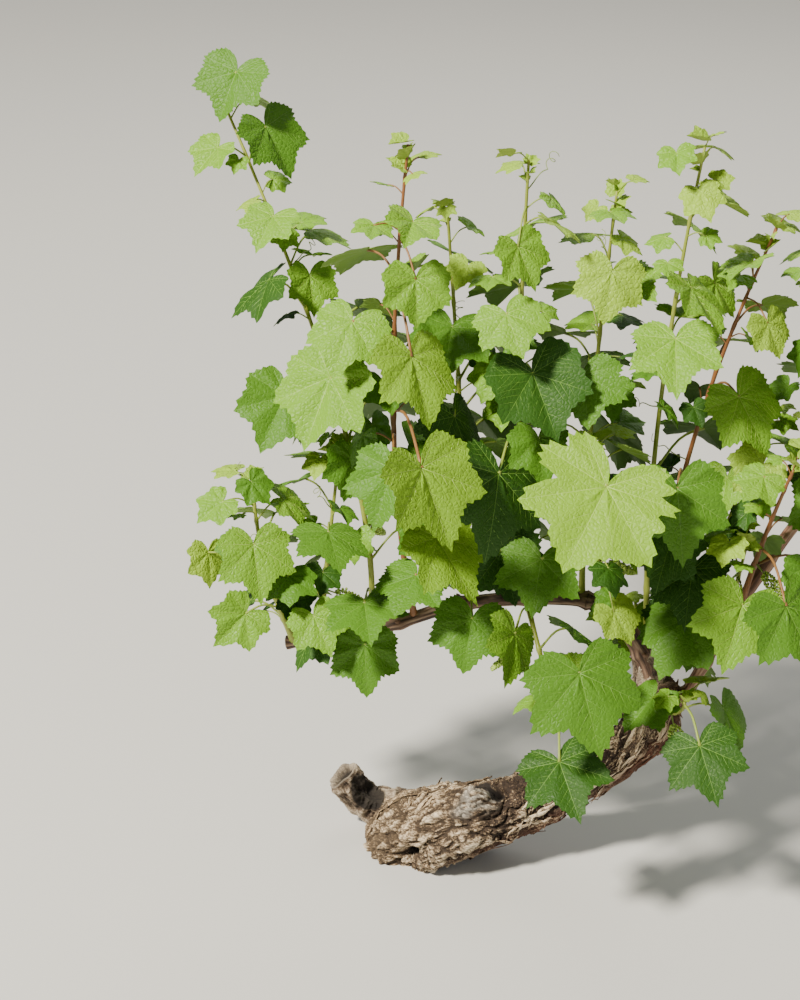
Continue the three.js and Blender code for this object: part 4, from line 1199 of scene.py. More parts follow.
# Each tint: colour of the upper and of the under face, gloss, roughness, strength of the quilting
LEAF_LOOKS = {
    "deep": ((0.028, 0.088, 0.007), (0.080, 0.155, 0.034), 0.22, 0.55, 0.55),
    "mid": ((0.080, 0.205, 0.013), (0.125, 0.230, 0.044), 0.23, 0.50, 0.68),
    "fresh": ((0.165, 0.350, 0.019), (0.200, 0.330, 0.055), 0.27, 0.49, 0.85),
    "young": ((0.290, 0.470, 0.034), (0.310, 0.420, 0.065), 0.30, 0.54, 1.0),
    "pale": ((0.208, 0.392, 0.020), (0.270, 0.400, 0.085), 0.28, 0.52, 0.8),
}
UNDER_LOOK = Sizes(gloss=0.25, roughness=0.7, gain=0.2, quilting=0.5, relief=0.0012)
UPPER_LOOK = Sizes(gain=0.3, relief=0.0027)
STALK_GAIN = 0.3
leaf_net = leaf_net_group()


def green(name, colour, cells, roughness, gain, relief=None, quilting=0.0, **more):
    """A plain green; the net breaks up its shine and may raise a fine relief."""
    material, tree, shader = new_material(name, Base_Color=(*colour, 1), **more)
    net = add_node(tree, "Group", {"node_tree": leaf_net}, Cells=cells).outputs
    roughened(tree, shader, net["Dull"], gain, roughness)
    if relief:
        bumped(tree, shader, net["Height"], relief, quilting)
    return material


def leaf_materials(tint):
    """The glossy upper face, and the paler, duller under face."""
    upper, under, gloss, roughness, quilting = LEAF_LOOKS[tint]
    return [
        green(f"leaf_{tint}", upper, NET.leaf, roughness, UPPER_LOOK.gain, UPPER_LOOK.relief, quilting,
              Specular_IOR_Level=gloss),
        green(f"leaf_{tint}_under", under, NET.leaf, UNDER_LOOK.roughness, UNDER_LOOK.gain,
              UNDER_LOOK.relief, UNDER_LOOK.quilting, Specular_IOR_Level=UNDER_LOOK.gloss),
    ]


def plain_green(name, colour, roughness):
    """Material of stalks, veins and buds: no relief, and a finer net in the shine."""
    return [green(name, colour, NET.stalk, roughness, STALK_GAIN)]


for tint in TINTS:
    chosen = [leaf for leaf in leaves if leaf.tint == tint]
    mesh_rows, looks = leaf_blocks(chosen, "blades")
    nodes = sorted({leaf.shoot for leaf in chosen})
    make_piece(f"leaves_{tint}", mesh_rows, leaf_materials(tint), "vine_leaves", nodes, **looks)

# %% Veins
VEIN_COLOURS = {"ripe": (0.155, 0.310, 0.040), "young": (0.340, 0.510, 0.085)}
for kind, tints in (("ripe", ("deep", "mid")), ("young", ("fresh", "young", "pale"))):
    veins = leaf_blocks([leaf for leaf in leaves if leaf.tint in tints], "veins")
    material = plain_green(f"vein_{kind}", VEIN_COLOURS[kind], 0.5)
    make_piece(f"leaf_veins_{kind}", veins, material, "vine_leaves")

# %% [markdown]
# ## Stalks
# Every leaf hangs on a petiole, and every shoot is a green stem that swells at its joints. Both are
# tubes: rings of points carried along a line. All the petioles have the same number of rings, so one
# array holds them all.

# %% Tubes
def tubes(centres, radii, sides, reference=(0.0, 1.0, 0.0)):
    """Rings of the radii round each centre, square to the line, for many lines at once; closed ends."""
    count, rings = centres.shape[:2]
    first, second = across(unit(np.gradient(centres, axis=1)), reference)
    spoke = turned(first[:, :, None], second[:, :, None], TURN * np.arange(sides) / sides)
    points = centres[:, :, None] + np.broadcast_to(radii, (count, rings))[..., None, None] * spoke
    points = np.concatenate([points.reshape(count, -1, 3), centres[:, [0, -1]]], 1)
    faces = (repeat_faces(part, count, points.shape[1]) for part in tube_faces(rings, sides))
    return points.reshape(-1, 3), *faces


PETIOLE_LOOK = Sizes(
    rings=9, sides=6, least=0.45, per_length=0.013, joint=0.45, joint_power=5, end=0.4,
)


def petioles(chosen):
    """Petioles of the chosen leaves, a little thicker at both ends."""
    fraction = np.linspace(0, 1, PETIOLE_LOOK.rings)
    centres = np.stack([petiole_line(leaf)(fraction) for leaf in chosen])
    centres[:, -1] -= PETIOLE_LOOK.end * frames_of(chosen)[2]
    ends = 1 + PETIOLE_LOOK.joint * np.abs(2 * fraction - 1) ** PETIOLE_LOOK.joint_power
    length = column_of(chosen, "length")
    radii = (PETIOLE_LOOK.least + PETIOLE_LOOK.per_length * length)[:, None] * ends
    return tubes(centres, radii, PETIOLE_LOOK.sides)


RED_SHOOTS = ["shoot_head_2", "shoot_left_4", "shoot_right_2", "shoot_right_4"]
STALK_COLOURS = {
    "petiole_green": (0.27, 0.36, 0.05), "petiole_red": (0.25, 0.12, 0.035),
    "stem_green": (0.26, 0.31, 0.035), "stem_red": (0.22, 0.085, 0.024),
}
hung = [leaf for leaf in leaves if not leaf.get("tuft")]
for kind in ("green", "red"):
    chosen = [leaf for leaf in hung if (leaf.shoot in RED_SHOOTS) == (kind == "red")]
    material = plain_green(f"petiole_{kind}", STALK_COLOURS[f"petiole_{kind}"], 0.5)
    make_piece(f"petioles_{kind}", petioles(chosen), material, "vine_leaves")

# %% Stems
STEM_LOOK = Sizes(
    rings=56, sides=12, between_joints=0.84, joint=0.3, joint_width=3.6, collar=0.5,
    collar_length=9,
)


def stem_rows(name):
    """Centres and radii of a stem: swollen joints, and a collar where it leaves the wood."""
    line = crown[name].line
    fraction = np.linspace(0, 1, STEM_LOOK.rings)
    off = length_of(line) * np.abs(fraction[:, None] - column_of(crown[name].leaves, "fraction"))
    swell = STEM_LOOK.joint * bell(off, STEM_LOOK.joint_width).max(1)
    collar = STEM_LOOK.collar * np.exp(-fraction * length_of(line) / STEM_LOOK.collar_length)
    taper = STEM.foot + (STEM.tip - STEM.foot) * fraction
    return line(fraction), taper * (STEM_LOOK.between_joints + swell + collar)


for kind in ("green", "red"):
    names = [name for name in crown if (name in RED_SHOOTS) == (kind == "red")]
    centres, radii = (np.stack(rows) for rows in zip(*map(stem_rows, names)))
    material = plain_green(f"stem_{kind}", STALK_COLOURS[f"stem_{kind}"], 0.48)
    make_piece(f"stems_{kind}", tubes(centres, radii, STEM_LOOK.sides), material, "vine_leaves", names)

# %% [markdown]
# ## Flower clusters and tendrils
# In late spring the clusters are still green: a stalk with a hundred round buds that sit in a slim
# cone. Tendrils stand opposite the leaves and end in a coil when they have found nothing to hold.

# %% Buds of the clusters
BUDS = Sizes(
    count=120, size=[1.35, 0.85], depth=[0.45, 1.0], profile=[[0, 0.45], [0.18, 1], [0.6, 0.62], [1, 0.16]],
    seed=9,
)
EDGE_OF_SOLID = 2.1


def bud_shape():
    """Twelve corners, (0, 1, g) turned through the axes, and twenty faces: a simple round solid."""
    golden = (1 + math.sqrt(5)) / 2
    signs = [(a, b) for a in (-1, 1) for b in (-1, 1)]
    corners = np.array([np.roll([0, a, b * golden], turn) for turn in range(3) for a, b in signs])
    apart = np.linalg.norm(corners[:, None] - corners[None], axis=-1)
    near = np.linalg.norm(corners[:, None] - corners[None], axis=-1) < EDGE_OF_SOLID
    faces = [(i, j, k) for i in range(12) for j in range(i + 1, 12) for k in range(j + 1, 12)
             if near[i, j] and near[j, k] and near[i, k]]
    outward = [face if np.linalg.det(corners[list(face)]) > 0 else face[::-1] for face in faces]
    return corners / np.linalg.norm(corners[0]), np.array(outward)


def buds_of(cluster, random):
    """Middles and sizes of the buds of a cluster: turns of the golden angle down its cone."""
    order = np.arange(BUDS.count)
    share = (order + 0.5) / BUDS.count
    profile = np.array(BUDS.profile)
    radius = CLUSTER.radius * np.interp(share, *profile.T) * random.uniform(*BUDS.depth, len(order)) ** 0.5
    first, second = across(cluster.axis, (0, 0, 1))
    angle = np.radians(GOLDEN_TURN) * order
    middle = cluster.root + (CLUSTER.stalk + share * CLUSTER.length)[:, None] * cluster.axis
    middle = middle + (radius * np.cos(angle))[:, None] * first + (radius * np.sin(angle))[:, None] * second
    return middle, random.uniform(BUDS.size[0], sum(BUDS.size), len(order))


clusters = [cluster for rows in crown.values() for cluster in rows.clusters]
random = np.random.default_rng(BUDS.seed)
middles, sizes = (np.concatenate(rows) for rows in zip(*(buds_of(cluster, random) for cluster in clusters)))
corners, bud_faces = bud_shape()
points = (middles[:, None] + sizes[:, None, None] * corners).reshape(-1, 3)
faces = repeat_faces(bud_faces, len(middles), len(corners))
material = plain_green("flower_bud", (0.42, 0.58, 0.10), 0.5)
make_piece("flower_buds", (points, [], faces), material, "vine_leaves")

# %% Stalks of the clusters, and tendrils
TENDRIL = Sizes(
    count=18, root=[0.35, 0.6], rise=[-10, 60], length=[34, 46], turns=[1.0, 1.6], coil=5.5,
    slowing=0.25, bend=0.16, rings=60, sides=6, radii=[0.75, -0.4], busy=7, seed=314,
)
STALK_LOOK = Sizes(rings=12, sides=6, radii=[1.1, -0.6])


def tendril(name, random):
    """A thread that leaves the stem, runs out along a slow bend and winds up tighter and tighter."""
    root = crown[name].line(drawn(TENDRIL.root, random))
    heading = pointing(360 * random(), drawn(TENDRIL.rise, random))
    first, second = across(heading, (0, 0, 1))
    length, turns = drawn(TENDRIL.length, random), drawn(TENDRIL.turns, random)
    s = np.linspace(0, 1, TENDRIL.rings)
    wound = TURN * turns * s**2.6
    out = length * (s - TENDRIL.slowing * s**3)
    curl = TENDRIL.coil * s**1.5
    side = curl * np.sin(wound) + TENDRIL.bend * length * s**2
    lift = curl * (1 - np.cos(wound))
    return root + out[:, None] * heading + side[:, None] * first + lift[:, None] * second


def thinning(look):
    """Radii from the first one to the first plus the second."""
    return look.radii[0] + look.radii[1] * np.linspace(0, 1, look.rings)


random = draws(TENDRIL.seed)
bearers = [name for name in crown if len(crown[name].leaves) > TENDRIL.busy]
threads = np.stack([tendril(bearers[k % len(bearers)], random) for k in range(TENDRIL.count)])
roots, axes = (np.stack([cluster[part] for cluster in clusters]) for part in ("root", "axis"))
reach_out = (CLUSTER.stalk + CLUSTER.length) * np.linspace(0, 1, STALK_LOOK.rings)
stalks = roots[:, None] + reach_out[:, None] * axes[:, None]
both = ((threads, TENDRIL), (stalks, STALK_LOOK))
blocks = [tubes(lines, thinning(look), look.sides) for lines, look in both]
material = plain_green("tendril", (0.24, 0.33, 0.07), 0.5)
make_piece("tendrils_and_stalks", joined(blocks), material, "vine_leaves")

# %% [markdown]
# ## Bark
# The bark of an old vine is a shaggy coat of strips that run along the trunk and turn round it. The
# relief is a sum of periodic noises, stretched along the limb and turned with it, and folded so that
# their ridges are sharp. The same numbers go into masks that tell the material how deep a place lies.

# %% Relief of wood
def eased(share):
    """Smooth step from 0 to 1: 3 t^2 - 2 t^3."""
    return share * share * (3 - 2 * share)


def lattice_noise(seed, rows, columns, along_share, round_share):
    """Smooth noise between 0 and 1 on a table of draws; it closes on itself round the limb."""
    table = np.random.default_rng(seed).random((rows + 2, columns))
    x, y = np.clip(along_share, 0, 1) * rows, np.mod(round_share, 1) * columns
    i, j = np.floor(x).astype(int), np.floor(y).astype(int)
    return four_corners(eased(x - i), eased(y - j), lambda down, over: table[i + down, (j + over) % columns])


def furrows(seed, layers, along_share, round_share):
    """Sum of folded noises with sharp ridges: each adds height * (1 - |2 n - 1|)."""
    height = np.zeros(np.broadcast(along_share, round_share).shape)
    shift = 0.0
    for number, (size, rows, columns) in enumerate(layers):
        noise = lattice_noise(seed + number, rows, columns, along_share, round_share + shift)
        height += size * (1 - np.abs(2 * noise - 1))
        shift = 0.02 * height / sum(layer[0] for layer in layers)
    return height


def two_nearest(found):
    """From pairs (distance, draw): the draw of the nearest one, and how much farther the second is."""
    near = second = np.inf
    level = 0.0
    for apart, draw in found:
        closer = apart < near
        second = np.where(closer, near, np.minimum(second, apart))
        level = np.where(closer, draw, level)
        near = np.where(closer, apart, near)
    return level, second - near


def plates(seed, rows, columns, along_share, round_share):
    """Bark plates: each place belongs to its nearest jittered point, with an edge where two are as near."""
    random = np.random.default_rng(seed)
    jitter = random.uniform(0.1, 0.9, (2, rows + 3, columns))
    level = random.random((rows + 3, columns))
    x, y = np.clip(along_share, 0, 1) * rows + 1, np.mod(round_share, 1) * columns
    i, j = np.floor(x).astype(int), np.floor(y).astype(int)

    def cell(down, over):
        at = np.clip(i + down, 0, rows + 2), (j + over) % columns
        return np.hypot(i + down + jitter[0][at] - x, j + over + jitter[1][at] - y), level[at]

    return two_nearest(cell(down - 1, over - 1) for down, over in np.ndindex(3, 3))


LATTICE = Sizes(draws=8191, primes=[7919, 104729, 1299709])


def jittered(seed, cells):
    """Four draws for each cell of a cubic lattice, found in one table by a sum of products with primes."""
    numbers = np.random.default_rng(seed).random((LATTICE.draws, 4))
    return numbers[(cells @ np.array(LATTICE.primes)) % len(numbers)]


def solid_noise(seed, places):
    """Smooth noise between 0 and 1 in space, blended from the eight corners of a place's cell."""
    low = np.floor(places).astype(int)
    part = eased(places - low)
    return sum(np.prod(np.where(corner, part, 1 - part), axis=-1) * jittered(seed, low + corner)[..., 3]
               for corner in np.ndindex(2, 2, 2))


def flakes(seed, places):
    """Like plates, but in space, so a bend in the limb doesn't stretch them."""
    low = np.floor(places).astype(int)

    def cell(step):
        draw = jittered(seed, low + step - 1)
        return np.linalg.norm(low + step - 1 + draw[..., :3] - places, axis=-1), draw[..., 3]

    return two_nearest(map(cell, np.ndindex(3, 3, 3)))


def limb_skin(line, fractions, radius, sides, foot=None):
    """Skin of a limb as (points, faces), with the fraction and angle of each; columns may start anywhere."""
    rings = len(fractions)
    fractions = np.broadcast_to(fractions, (rings, sides))
    angles = np.broadcast_to(TURN * np.arange(sides) / sides, (rings, sides))
    points = skin_places(line, radius, fractions, angles)
    if foot is not None:
        points[0, :, 2] = foot
    points = np.vstack([points.reshape(-1, 3), points[0].mean(0), points[-1].mean(0)])
    return (points, *tube_faces(rings, sides)), fractions, angles


GRAIN_STRETCH = 0.12
WALLS = Sizes(size=[0.98, 0.9], corner=[0.01, 0.09])
CAPS = Sizes(radius=0.035, middles=[[0.05, 0.045], [0.15, 0.045]])


def grain_of(length, width, fractions, turned_by):
    """Place in the grain: round the limb by cosine and sine, and drawn out along it."""
    round_limb = width * np.cos(turned_by), width * np.sin(turned_by)
    grain = np.stack([*round_limb, GRAIN_STRETCH * length * fractions], -1).reshape(-1, 3)
    return np.vstack([grain, grain[:2]]) * MM


def flat_map(fractions):
    """Corners on the flat map: shares round and along the limb; the caps take two small discs."""
    rings, sides = fractions.shape
    row, column = np.meshgrid(np.arange(rings - 1), np.arange(sides), indexing="ij")
    corner = (np.stack([column, row], -1)[:, :, None] + [[0, 0], [1, 0], [1, 1], [0, 1]]).reshape(-1, 2)
    maps = [corner / [sides, rings - 1] * WALLS.size + WALLS.corner]
    turn = TURN * np.arange(sides) / sides
    rim = CAPS.radius * np.stack([np.cos(turn), np.sin(turn)], -1)
    for middle, outward in zip(CAPS.middles, (False, True)):
        here, centre = middle + rim, np.tile(middle, (sides, 1))
        beside = np.roll(here, -1, axis=0)
        maps.append(np.stack([centre, here, beside] if outward else [centre, beside, here], 1).reshape(-1, 2))
    return np.vstack(maps)


def with_ends(values):
    """A mask per point of a limb, with two more values for the middles of its ends."""
    return np.concatenate([values.ravel(), values.ravel()[:2]])


# %% Trunk
TRUNK_LOOK = Sizes(
    sides=236, rings=360, twist=0.3, middle=6.2, lift=0.6, crowding=1.35, thin=0.35,
    boss_calm=0.7,
)
SEEDS = Sizes(
    furrows=40, turn=60, boss=70, plates=90, flakes=95, boss_flakes=100, push=90,
    patches=95, wrinkles=97,
)
TRUNK_LAYERS = [(3.0, 9, 11), (2.2, 24, 27), (1.5, 70, 62), (1.0, 150, 110)]
TRUNK_PLATES = table(
    "rows columns step groove edge",
    (20, 15, 4.4, 3.2, 0.10), (48, 36, 2.4, 1.8, 0.14), (110, 80, 1.1, 0.7, 0.2))
TRUNK_FLAKES = table(
    "size step groove edge", (12, 4.4, 3.6, 0.09), (5.4, 2.6, 2.2, 0.10), (2.8, 1.2, 0.8, 0.10))
FLAKE_WARPS = [(15, 30), (5, 9)]
FLAKES_RUN = Sizes(heading=(0.94, 0.0, 0.34), short=0.62)
LONG_GRAIN = Sizes(start=0.34, end=0.6, flakes=0.35)
TRUNK_WARPS = [(0.06, 6, 4), (0.02, 15, 10), (0.006, 50, 34)]
BOSS = Sizes(along=0.36, round=2.2, length=0.042, width=0.36, uneven=0.7, rows=40, columns=18)
BOSS_FLAKES = Sizes(size=4.0, step=5.5, groove=5.0, edge=0.16, spread=0.6)
SWIRL = Sizes(turns=0.3, fade=0.1)
WRINKLES = Sizes(
    apart=0.72, start=0.9, end=4.2, depth=5.0, wander=0.6, wave=13, rise=2, power=3,
)
# Each hollow is a dent in the trunk, which the hollow mask also paints black as shade.
HOLLOWS = table(
    "depth along round length width",
    (19, 0.404, 2.1, 0.022, 0.22), (10, 0.372, 1.75, 0.022, 0.2), (9, 0.2, 2.9, 0.022, 0.16),
    (5, 0.55, 3.3, 0.03, 0.1))
KNOBS = Sizes(count=40, height=[2.0, 4.5], length=[0.012, 0.02], width=[0.12, 0.2], seed=8)
WORN_TOP = Sizes(depth=6.0, start=0.5)
GROUND_SEARCH = Sizes(end=0.6, steps=1201)
TRUNK_LENGTH = length_of(TRUNK_LINE)


def boss_distance(fraction, angle):
    """Distance from the pruning boss in its own lengths, with an uneven rim."""
    uneven = lattice_noise(SEEDS.boss, BOSS.rows, BOSS.columns, fraction, angle / TURN) - 0.5
    aside = angle_from(angle, BOSS.round) / BOSS.width
    return np.hypot((fraction - BOSS.along) / BOSS.length, aside) * (1 + BOSS.uneven * uneven)


def trunk_turn(fraction, angle):
    """Share of a turn at which the grain runs: it twists, wanders and flows round the boss."""
    share = angle / TURN
    wander = sum(size * (lattice_noise(SEEDS.turn + k, rows, columns, fraction, share) - 0.5)
                 for k, (size, rows, columns) in enumerate(TRUNK_WARPS))
    distance = boss_distance(fraction, angle)
    swirl = SWIRL.turns * distance * np.exp(-SWIRL.fade * distance**2)
    return share + TRUNK_LOOK.twist * fraction + wander + swirl


def knobs():
    """Small burrs at drawn places."""
    random = draws(KNOBS.seed)
    return [Sizes(
        height=drawn(KNOBS.height, random), along=random(), round=TURN * random(),
        length=drawn(KNOBS.length, random), width=drawn(KNOBS.width, random),
    ) for _ in range(KNOBS.count)]


def warped_places(fraction, angle):
    """Places on the frame's surface, pushed by noise and shortened along the trunk, so flakes are long."""
    places = skin_places(TRUNK_LINE, trunk_radius, fraction, angle)
    for push, wave in FLAKE_WARPS:
        noise = np.stack([solid_noise(SEEDS.push + k, places / wave) for k in range(3)], -1)
        places = places + push * (noise - 0.5)
    heading = np.array(FLAKES_RUN.heading)
    return places - FLAKES_RUN.short * (places @ heading)[..., None] * heading


def stepped(row, level, edge):
    """Height and crack: a step from flake to flake, and a groove exp(-edge / width) between them."""
    crack = np.exp(-edge / row.edge)
    return row.step * (level - 0.5) - row.groove * crack, crack


def wrinkles(fraction, angle, places):
    """Wandering grooves like ripples round the boss: 1 in a groove, 0 between two."""
    off = boss_distance(fraction, angle)
    wander = WRINKLES.wander * (solid_noise(SEEDS.wrinkles, places / WRINKLES.wave) - 0.5)
    near = np.clip(WRINKLES.rise * (off - WRINKLES.start), 0, 1) * np.clip(WRINKLES.end - off, 0, 1)
    near *= np.clip(0.5 + (fraction - BOSS.along) / BOSS.length, 0, 1)
    return near * np.clip(np.cos(TURN * (off + wander) / WRINKLES.apart), 0, 1) ** WRINKLES.power


def bark_height(fraction, angle):
    """Height and cracks of the bark: flakes at the foot, plates above, rough flakes on the boss."""
    fraction, angle = np.broadcast_arrays(fraction, angle)
    turn = trunk_turn(fraction, angle)
    places = warped_places(fraction, angle)
    long_grain = np.clip((fraction - LONG_GRAIN.start) / (LONG_GRAIN.end - LONG_GRAIN.start), 0, 1)
    short_grain = 1 - (1 - LONG_GRAIN.flakes) * long_grain
    height = furrows(SEEDS.furrows, TRUNK_LAYERS, fraction, turn) - TRUNK_LOOK.middle
    cracks = np.zeros(fraction.shape)
    for k, row in enumerate(TRUNK_PLATES):
        step, crack = stepped(row, *plates(SEEDS.plates + k, row.rows, row.columns, fraction, turn))
        height, cracks = height + long_grain * step, np.maximum(cracks, long_grain * crack)
    for k, row in enumerate(TRUNK_FLAKES):
        step, crack = stepped(row, *flakes(SEEDS.flakes + k, places / row.size))
        height, cracks = height + short_grain * step, np.maximum(cracks, short_grain * crack)
    on_boss = np.exp(-BOSS_FLAKES.spread * boss_distance(fraction, angle) ** 2)
    step, crack = stepped(BOSS_FLAKES, *flakes(SEEDS.boss_flakes, places / BOSS_FLAKES.size))
    calm = 1 - TRUNK_LOOK.boss_calm * on_boss
    thin = TRUNK_LOOK.thin + (1 - TRUNK_LOOK.thin) * (between(TRUNK_RADII, fraction) / TRUNK_RADII[0])
    groove = wrinkles(fraction, angle, places)
    height = height * calm * thin + step * on_boss - WRINKLES.depth * groove
    return height + TRUNK_LOOK.lift, np.maximum(np.maximum(cracks, crack * on_boss), groove)


def trunk_skin_radius(fraction, angle):
    """Frame radius, plus bark and burrs, less the hollows and what has worn off the top."""
    burrs = sum(knob.height * bump(knob, fraction, angle) for knob in knobs())
    hollow = sum(row.depth * bump(row, fraction, angle) for row in HOLLOWS)
    low = np.clip(1 - fraction / WORN_TOP.start, 0, 1) ** 0.5
    worn = WORN_TOP.depth * np.clip(np.sin(angle), 0, 1) * low
    return trunk_radius(fraction, angle) + (bark_height(fraction, angle)[0] + burrs - hollow - worn)


def ground_starts(sides):
    """Fraction at which each column leaves the ground for good, between two close steps."""
    steps = np.linspace(0, GROUND_SEARCH.end, GROUND_SEARCH.steps)[:, None]
    height = skin_places(TRUNK_LINE, trunk_skin_radius, steps, TURN * np.arange(sides) / sides)[..., 2]
    last = len(steps) - 1 - np.argmax(height[::-1] < 0, axis=0)
    columns = np.arange(sides)
    low, high = height[last, columns], height[last + 1, columns]
    return steps[last, 0] + (steps[1, 0] - steps[0, 0]) * low / (low - high)


def end_rims(sides, rings):
    """Which points lie on the two end rings; the two middles come last."""
    rim = np.zeros(sides * rings + 2, bool)
    rim[:sides] = True
    rim[-sides - 2:-2] = True
    return rim


starts = ground_starts(TRUNK_LOOK.sides)
share = np.linspace(0, 1, TRUNK_LOOK.rings)[:, None] ** TRUNK_LOOK.crowding
trunk_rows, fractions, angles = limb_skin(
    TRUNK_LINE, starts + (1 - starts) * share, trunk_skin_radius, TRUNK_LOOK.sides, foot=0.0)
trunk_rows[0][:, 2] = np.maximum(trunk_rows[0][:, 2], 0)
relief, cracks = bark_height(fractions, angles)
print("bark from", round(relief.min(), 1), "to", round(relief.max(), 1), "millimetres over the frame's trunk")

# %% Masks of the bark
# Each mask is clip(gain * value + offset); some are the product of two of these
MASKS = Sizes(
    rust_and_underside_shade=(-1.5, -0.25), rust_from=0.15, rust_over=0.2, dust=(0.8, 0.4), dust_low=(-3.2, 1.4),
    hollow=(5, -1.8), bleached=(2.6, -0.5), patches=(3.2, -0.7), deepest=2.9, relief=7.4,
)


def masked(values, name):
    """A mask between 0 and 1 from values and the gain and offset of that name."""
    gain, offset = MASKS[name]
    return np.clip(gain * values + offset, 0, 1)


def trunk_masks(fractions, angles, relief, cracks):
    """How deep, bleached, cracked, dusty and hollow each point is, how much it faces down, and its place in
    the grain; the depth, crack and hollow masks carry painted shade, and the downward mask carries a reddish
    tint with painted shade on the underside.
    """
    patches = solid_noise(SEEDS.patches, warped_places(fractions, angles) / BOSS_FLAKES.size)
    above_foot = np.clip((fractions - MASKS.rust_from) / MASKS.rust_over, 0, 1)
    on_boss = np.exp(-boss_distance(fractions, angles) ** 2)
    masks = {
        "shade": np.clip((relief + MASKS.deepest) / MASKS.relief, 0, 1),
        "bleached": masked(on_boss, "bleached") * masked(patches, "patches"),
        # Painted shade: the crack mask blackens the grooves between plates and flakes and the wrinkles round
        # the boss.
        "crack": cracks,
        # Reddish tint with painted shade: darker on the side that faces down, above the foot.
        "rust_and_underside_shade": masked(np.sin(angles), "rust_and_underside_shade") * above_foot,
        "dust": masked(np.sin(angles), "dust") * masked(fractions, "dust_low"),
        # Painted shade: the hollow mask turns the dents in the trunk black.
        "hollow": masked(sum(bump(row, fractions, angles) for row in HOLLOWS), "hollow"),
    }
    grain = grain_of(TRUNK_LENGTH, TRUNK_RADII[0], fractions, TURN * trunk_turn(fractions, angles))
    return Sizes(**{name: with_ends(values) for name, values in masks.items()}, grain=grain)


# %% Wood materials
GRAIN_NOISE = Sizes(detail=5, roughness=0.62, specks=620, speck_detail=3)
WOOD = Sizes(depth=1.15, fibre_middle=0.54, rough_gain=0.2, speck_relief=0.3, strength=0.7)


def wood_grain_group():
    """Fibres from noise drawn out along the grain, and specks from finer noise."""
    group, size = new_group("wood_grain", {"Fibres": 260.0}, ["Fibre", "Speck"])
    grain = add_node(group, "Attribute", {"attribute_name": "grain"}).outputs["Vector"]
    fibre = add_node(group, "TexNoise", Vector=grain, Scale=size, Detail=GRAIN_NOISE.detail,
                     Roughness=GRAIN_NOISE.roughness)
    place = add_node(group, "TexCoord").outputs["Object"]
    speck = add_node(group, "TexNoise", Vector=place, Scale=GRAIN_NOISE.specks,
                     Detail=GRAIN_NOISE.speck_detail)
    return finish_group(group, Fibre=fibre.outputs[0], Speck=speck.outputs[0])


def mask_of(tree, name, gain):
    """A point mask of the mesh times a gain, as a socket."""
    return maths(tree, "MULTIPLY", add_node(tree, "Attribute", {"attribute_name": name}).outputs["Fac"], gain)


def tinted(tree, share, colour, tint):
    """Mix of a colour socket and a plain tint."""
    node = add_node(tree, "Mix", {"data_type": "RGBA"}, Factor=share)
    colours = [socket for socket in node.inputs if socket.type == "RGBA"]
    feed(tree, colour, colours[0])
    feed(tree, (*tint, 1), colours[1])
    return [socket for socket in node.outputs if socket.type == "RGBA"][0]


def wood_material(
        name, stops, fibres, masks=(), roughness=0.85, relief=0.0012, fibre_gain=2.0, speck_gain=0.0):
    """Colour from depth, fibre and specks through a ramp, then tinted by masks."""
    material, tree, shader = new_material(name)
    grain = add_node(tree, "Group", {"node_tree": wood_grain}, Fibres=fibres).outputs
    about = lambda noise, middle, gain: maths(tree, "MULTIPLY", maths(tree, "SUBTRACT", noise, middle), gain)
    value = maths(tree, "ADD", mask_of(tree, "shade", WOOD.depth),
                  about(grain["Fibre"], WOOD.fibre_middle, fibre_gain))
    colour = ramp(tree, maths(tree, "ADD", value, about(grain["Speck"], 0.5, speck_gain)), stops)
    for mask, tint, amount in masks:
        colour = tinted(tree, mask_of(tree, mask, amount), colour, tint)
    feed(tree, colour, shader.inputs["Base Color"])
    roughened(tree, shader, grain["Speck"], WOOD.rough_gain, roughness)
    specks = maths(tree, "MULTIPLY", grain["Speck"], WOOD.speck_relief)
    bumped(tree, shader, maths(tree, "ADD", grain["Fibre"], specks), relief, WOOD.strength)
    return [material]


BARK_STOPS = [
    (0.0, (0.030, 0.016, 0.009)), (0.18, (0.130, 0.080, 0.045)), (0.34, (0.390, 0.280, 0.172)),
    (0.52, (0.650, 0.510, 0.340)), (0.85, (0.880, 0.740, 0.540)),
]
wood_grain = wood_grain_group()
# Painted shade in the bark: the ramp darkens deep relief, the crack and hollow tints blacken grooves and
# dents, and the rust tint darkens the underside.
bark = wood_material("old_bark", BARK_STOPS, 240.0, relief=0.002, fibre_gain=1.3, speck_gain=1.4, masks=[
    ("dust", (0.560, 0.400, 0.220), 0.22), ("rust_and_underside_shade", (0.120, 0.034, 0.014), 0.75),
    ("bleached", (0.860, 0.800, 0.690), 0.62), ("crack", (0.020, 0.011, 0.006), 0.9),
    ("hollow", (0.010, 0.006, 0.004), 0.97),
])
masks = trunk_masks(fractions, angles, relief, cracks)
rim = end_rims(TRUNK_LOOK.sides, TRUNK_LOOK.rings)
make_piece("trunk_bark", trunk_rows, bark, "trunk_bark", ["trunk"], masks, flat_map(fractions), rim)

# %% Peeling strips
PEEL = Sizes(
    count=260, length=[16, 56], width=[1.8, 4.6], lift=[0.6, 5.5], thick=0.7, rings=10,
    start=[0.02, 0.93], lean=[-0.5, 0.9], end=0.995, least_lift=0.4, sway=0.12, sway_rate=5,
    tip_width=0.15, clear_of_ground=1, clear_of_boss=1.3, height=[-3.5, 2], seed=55,
)


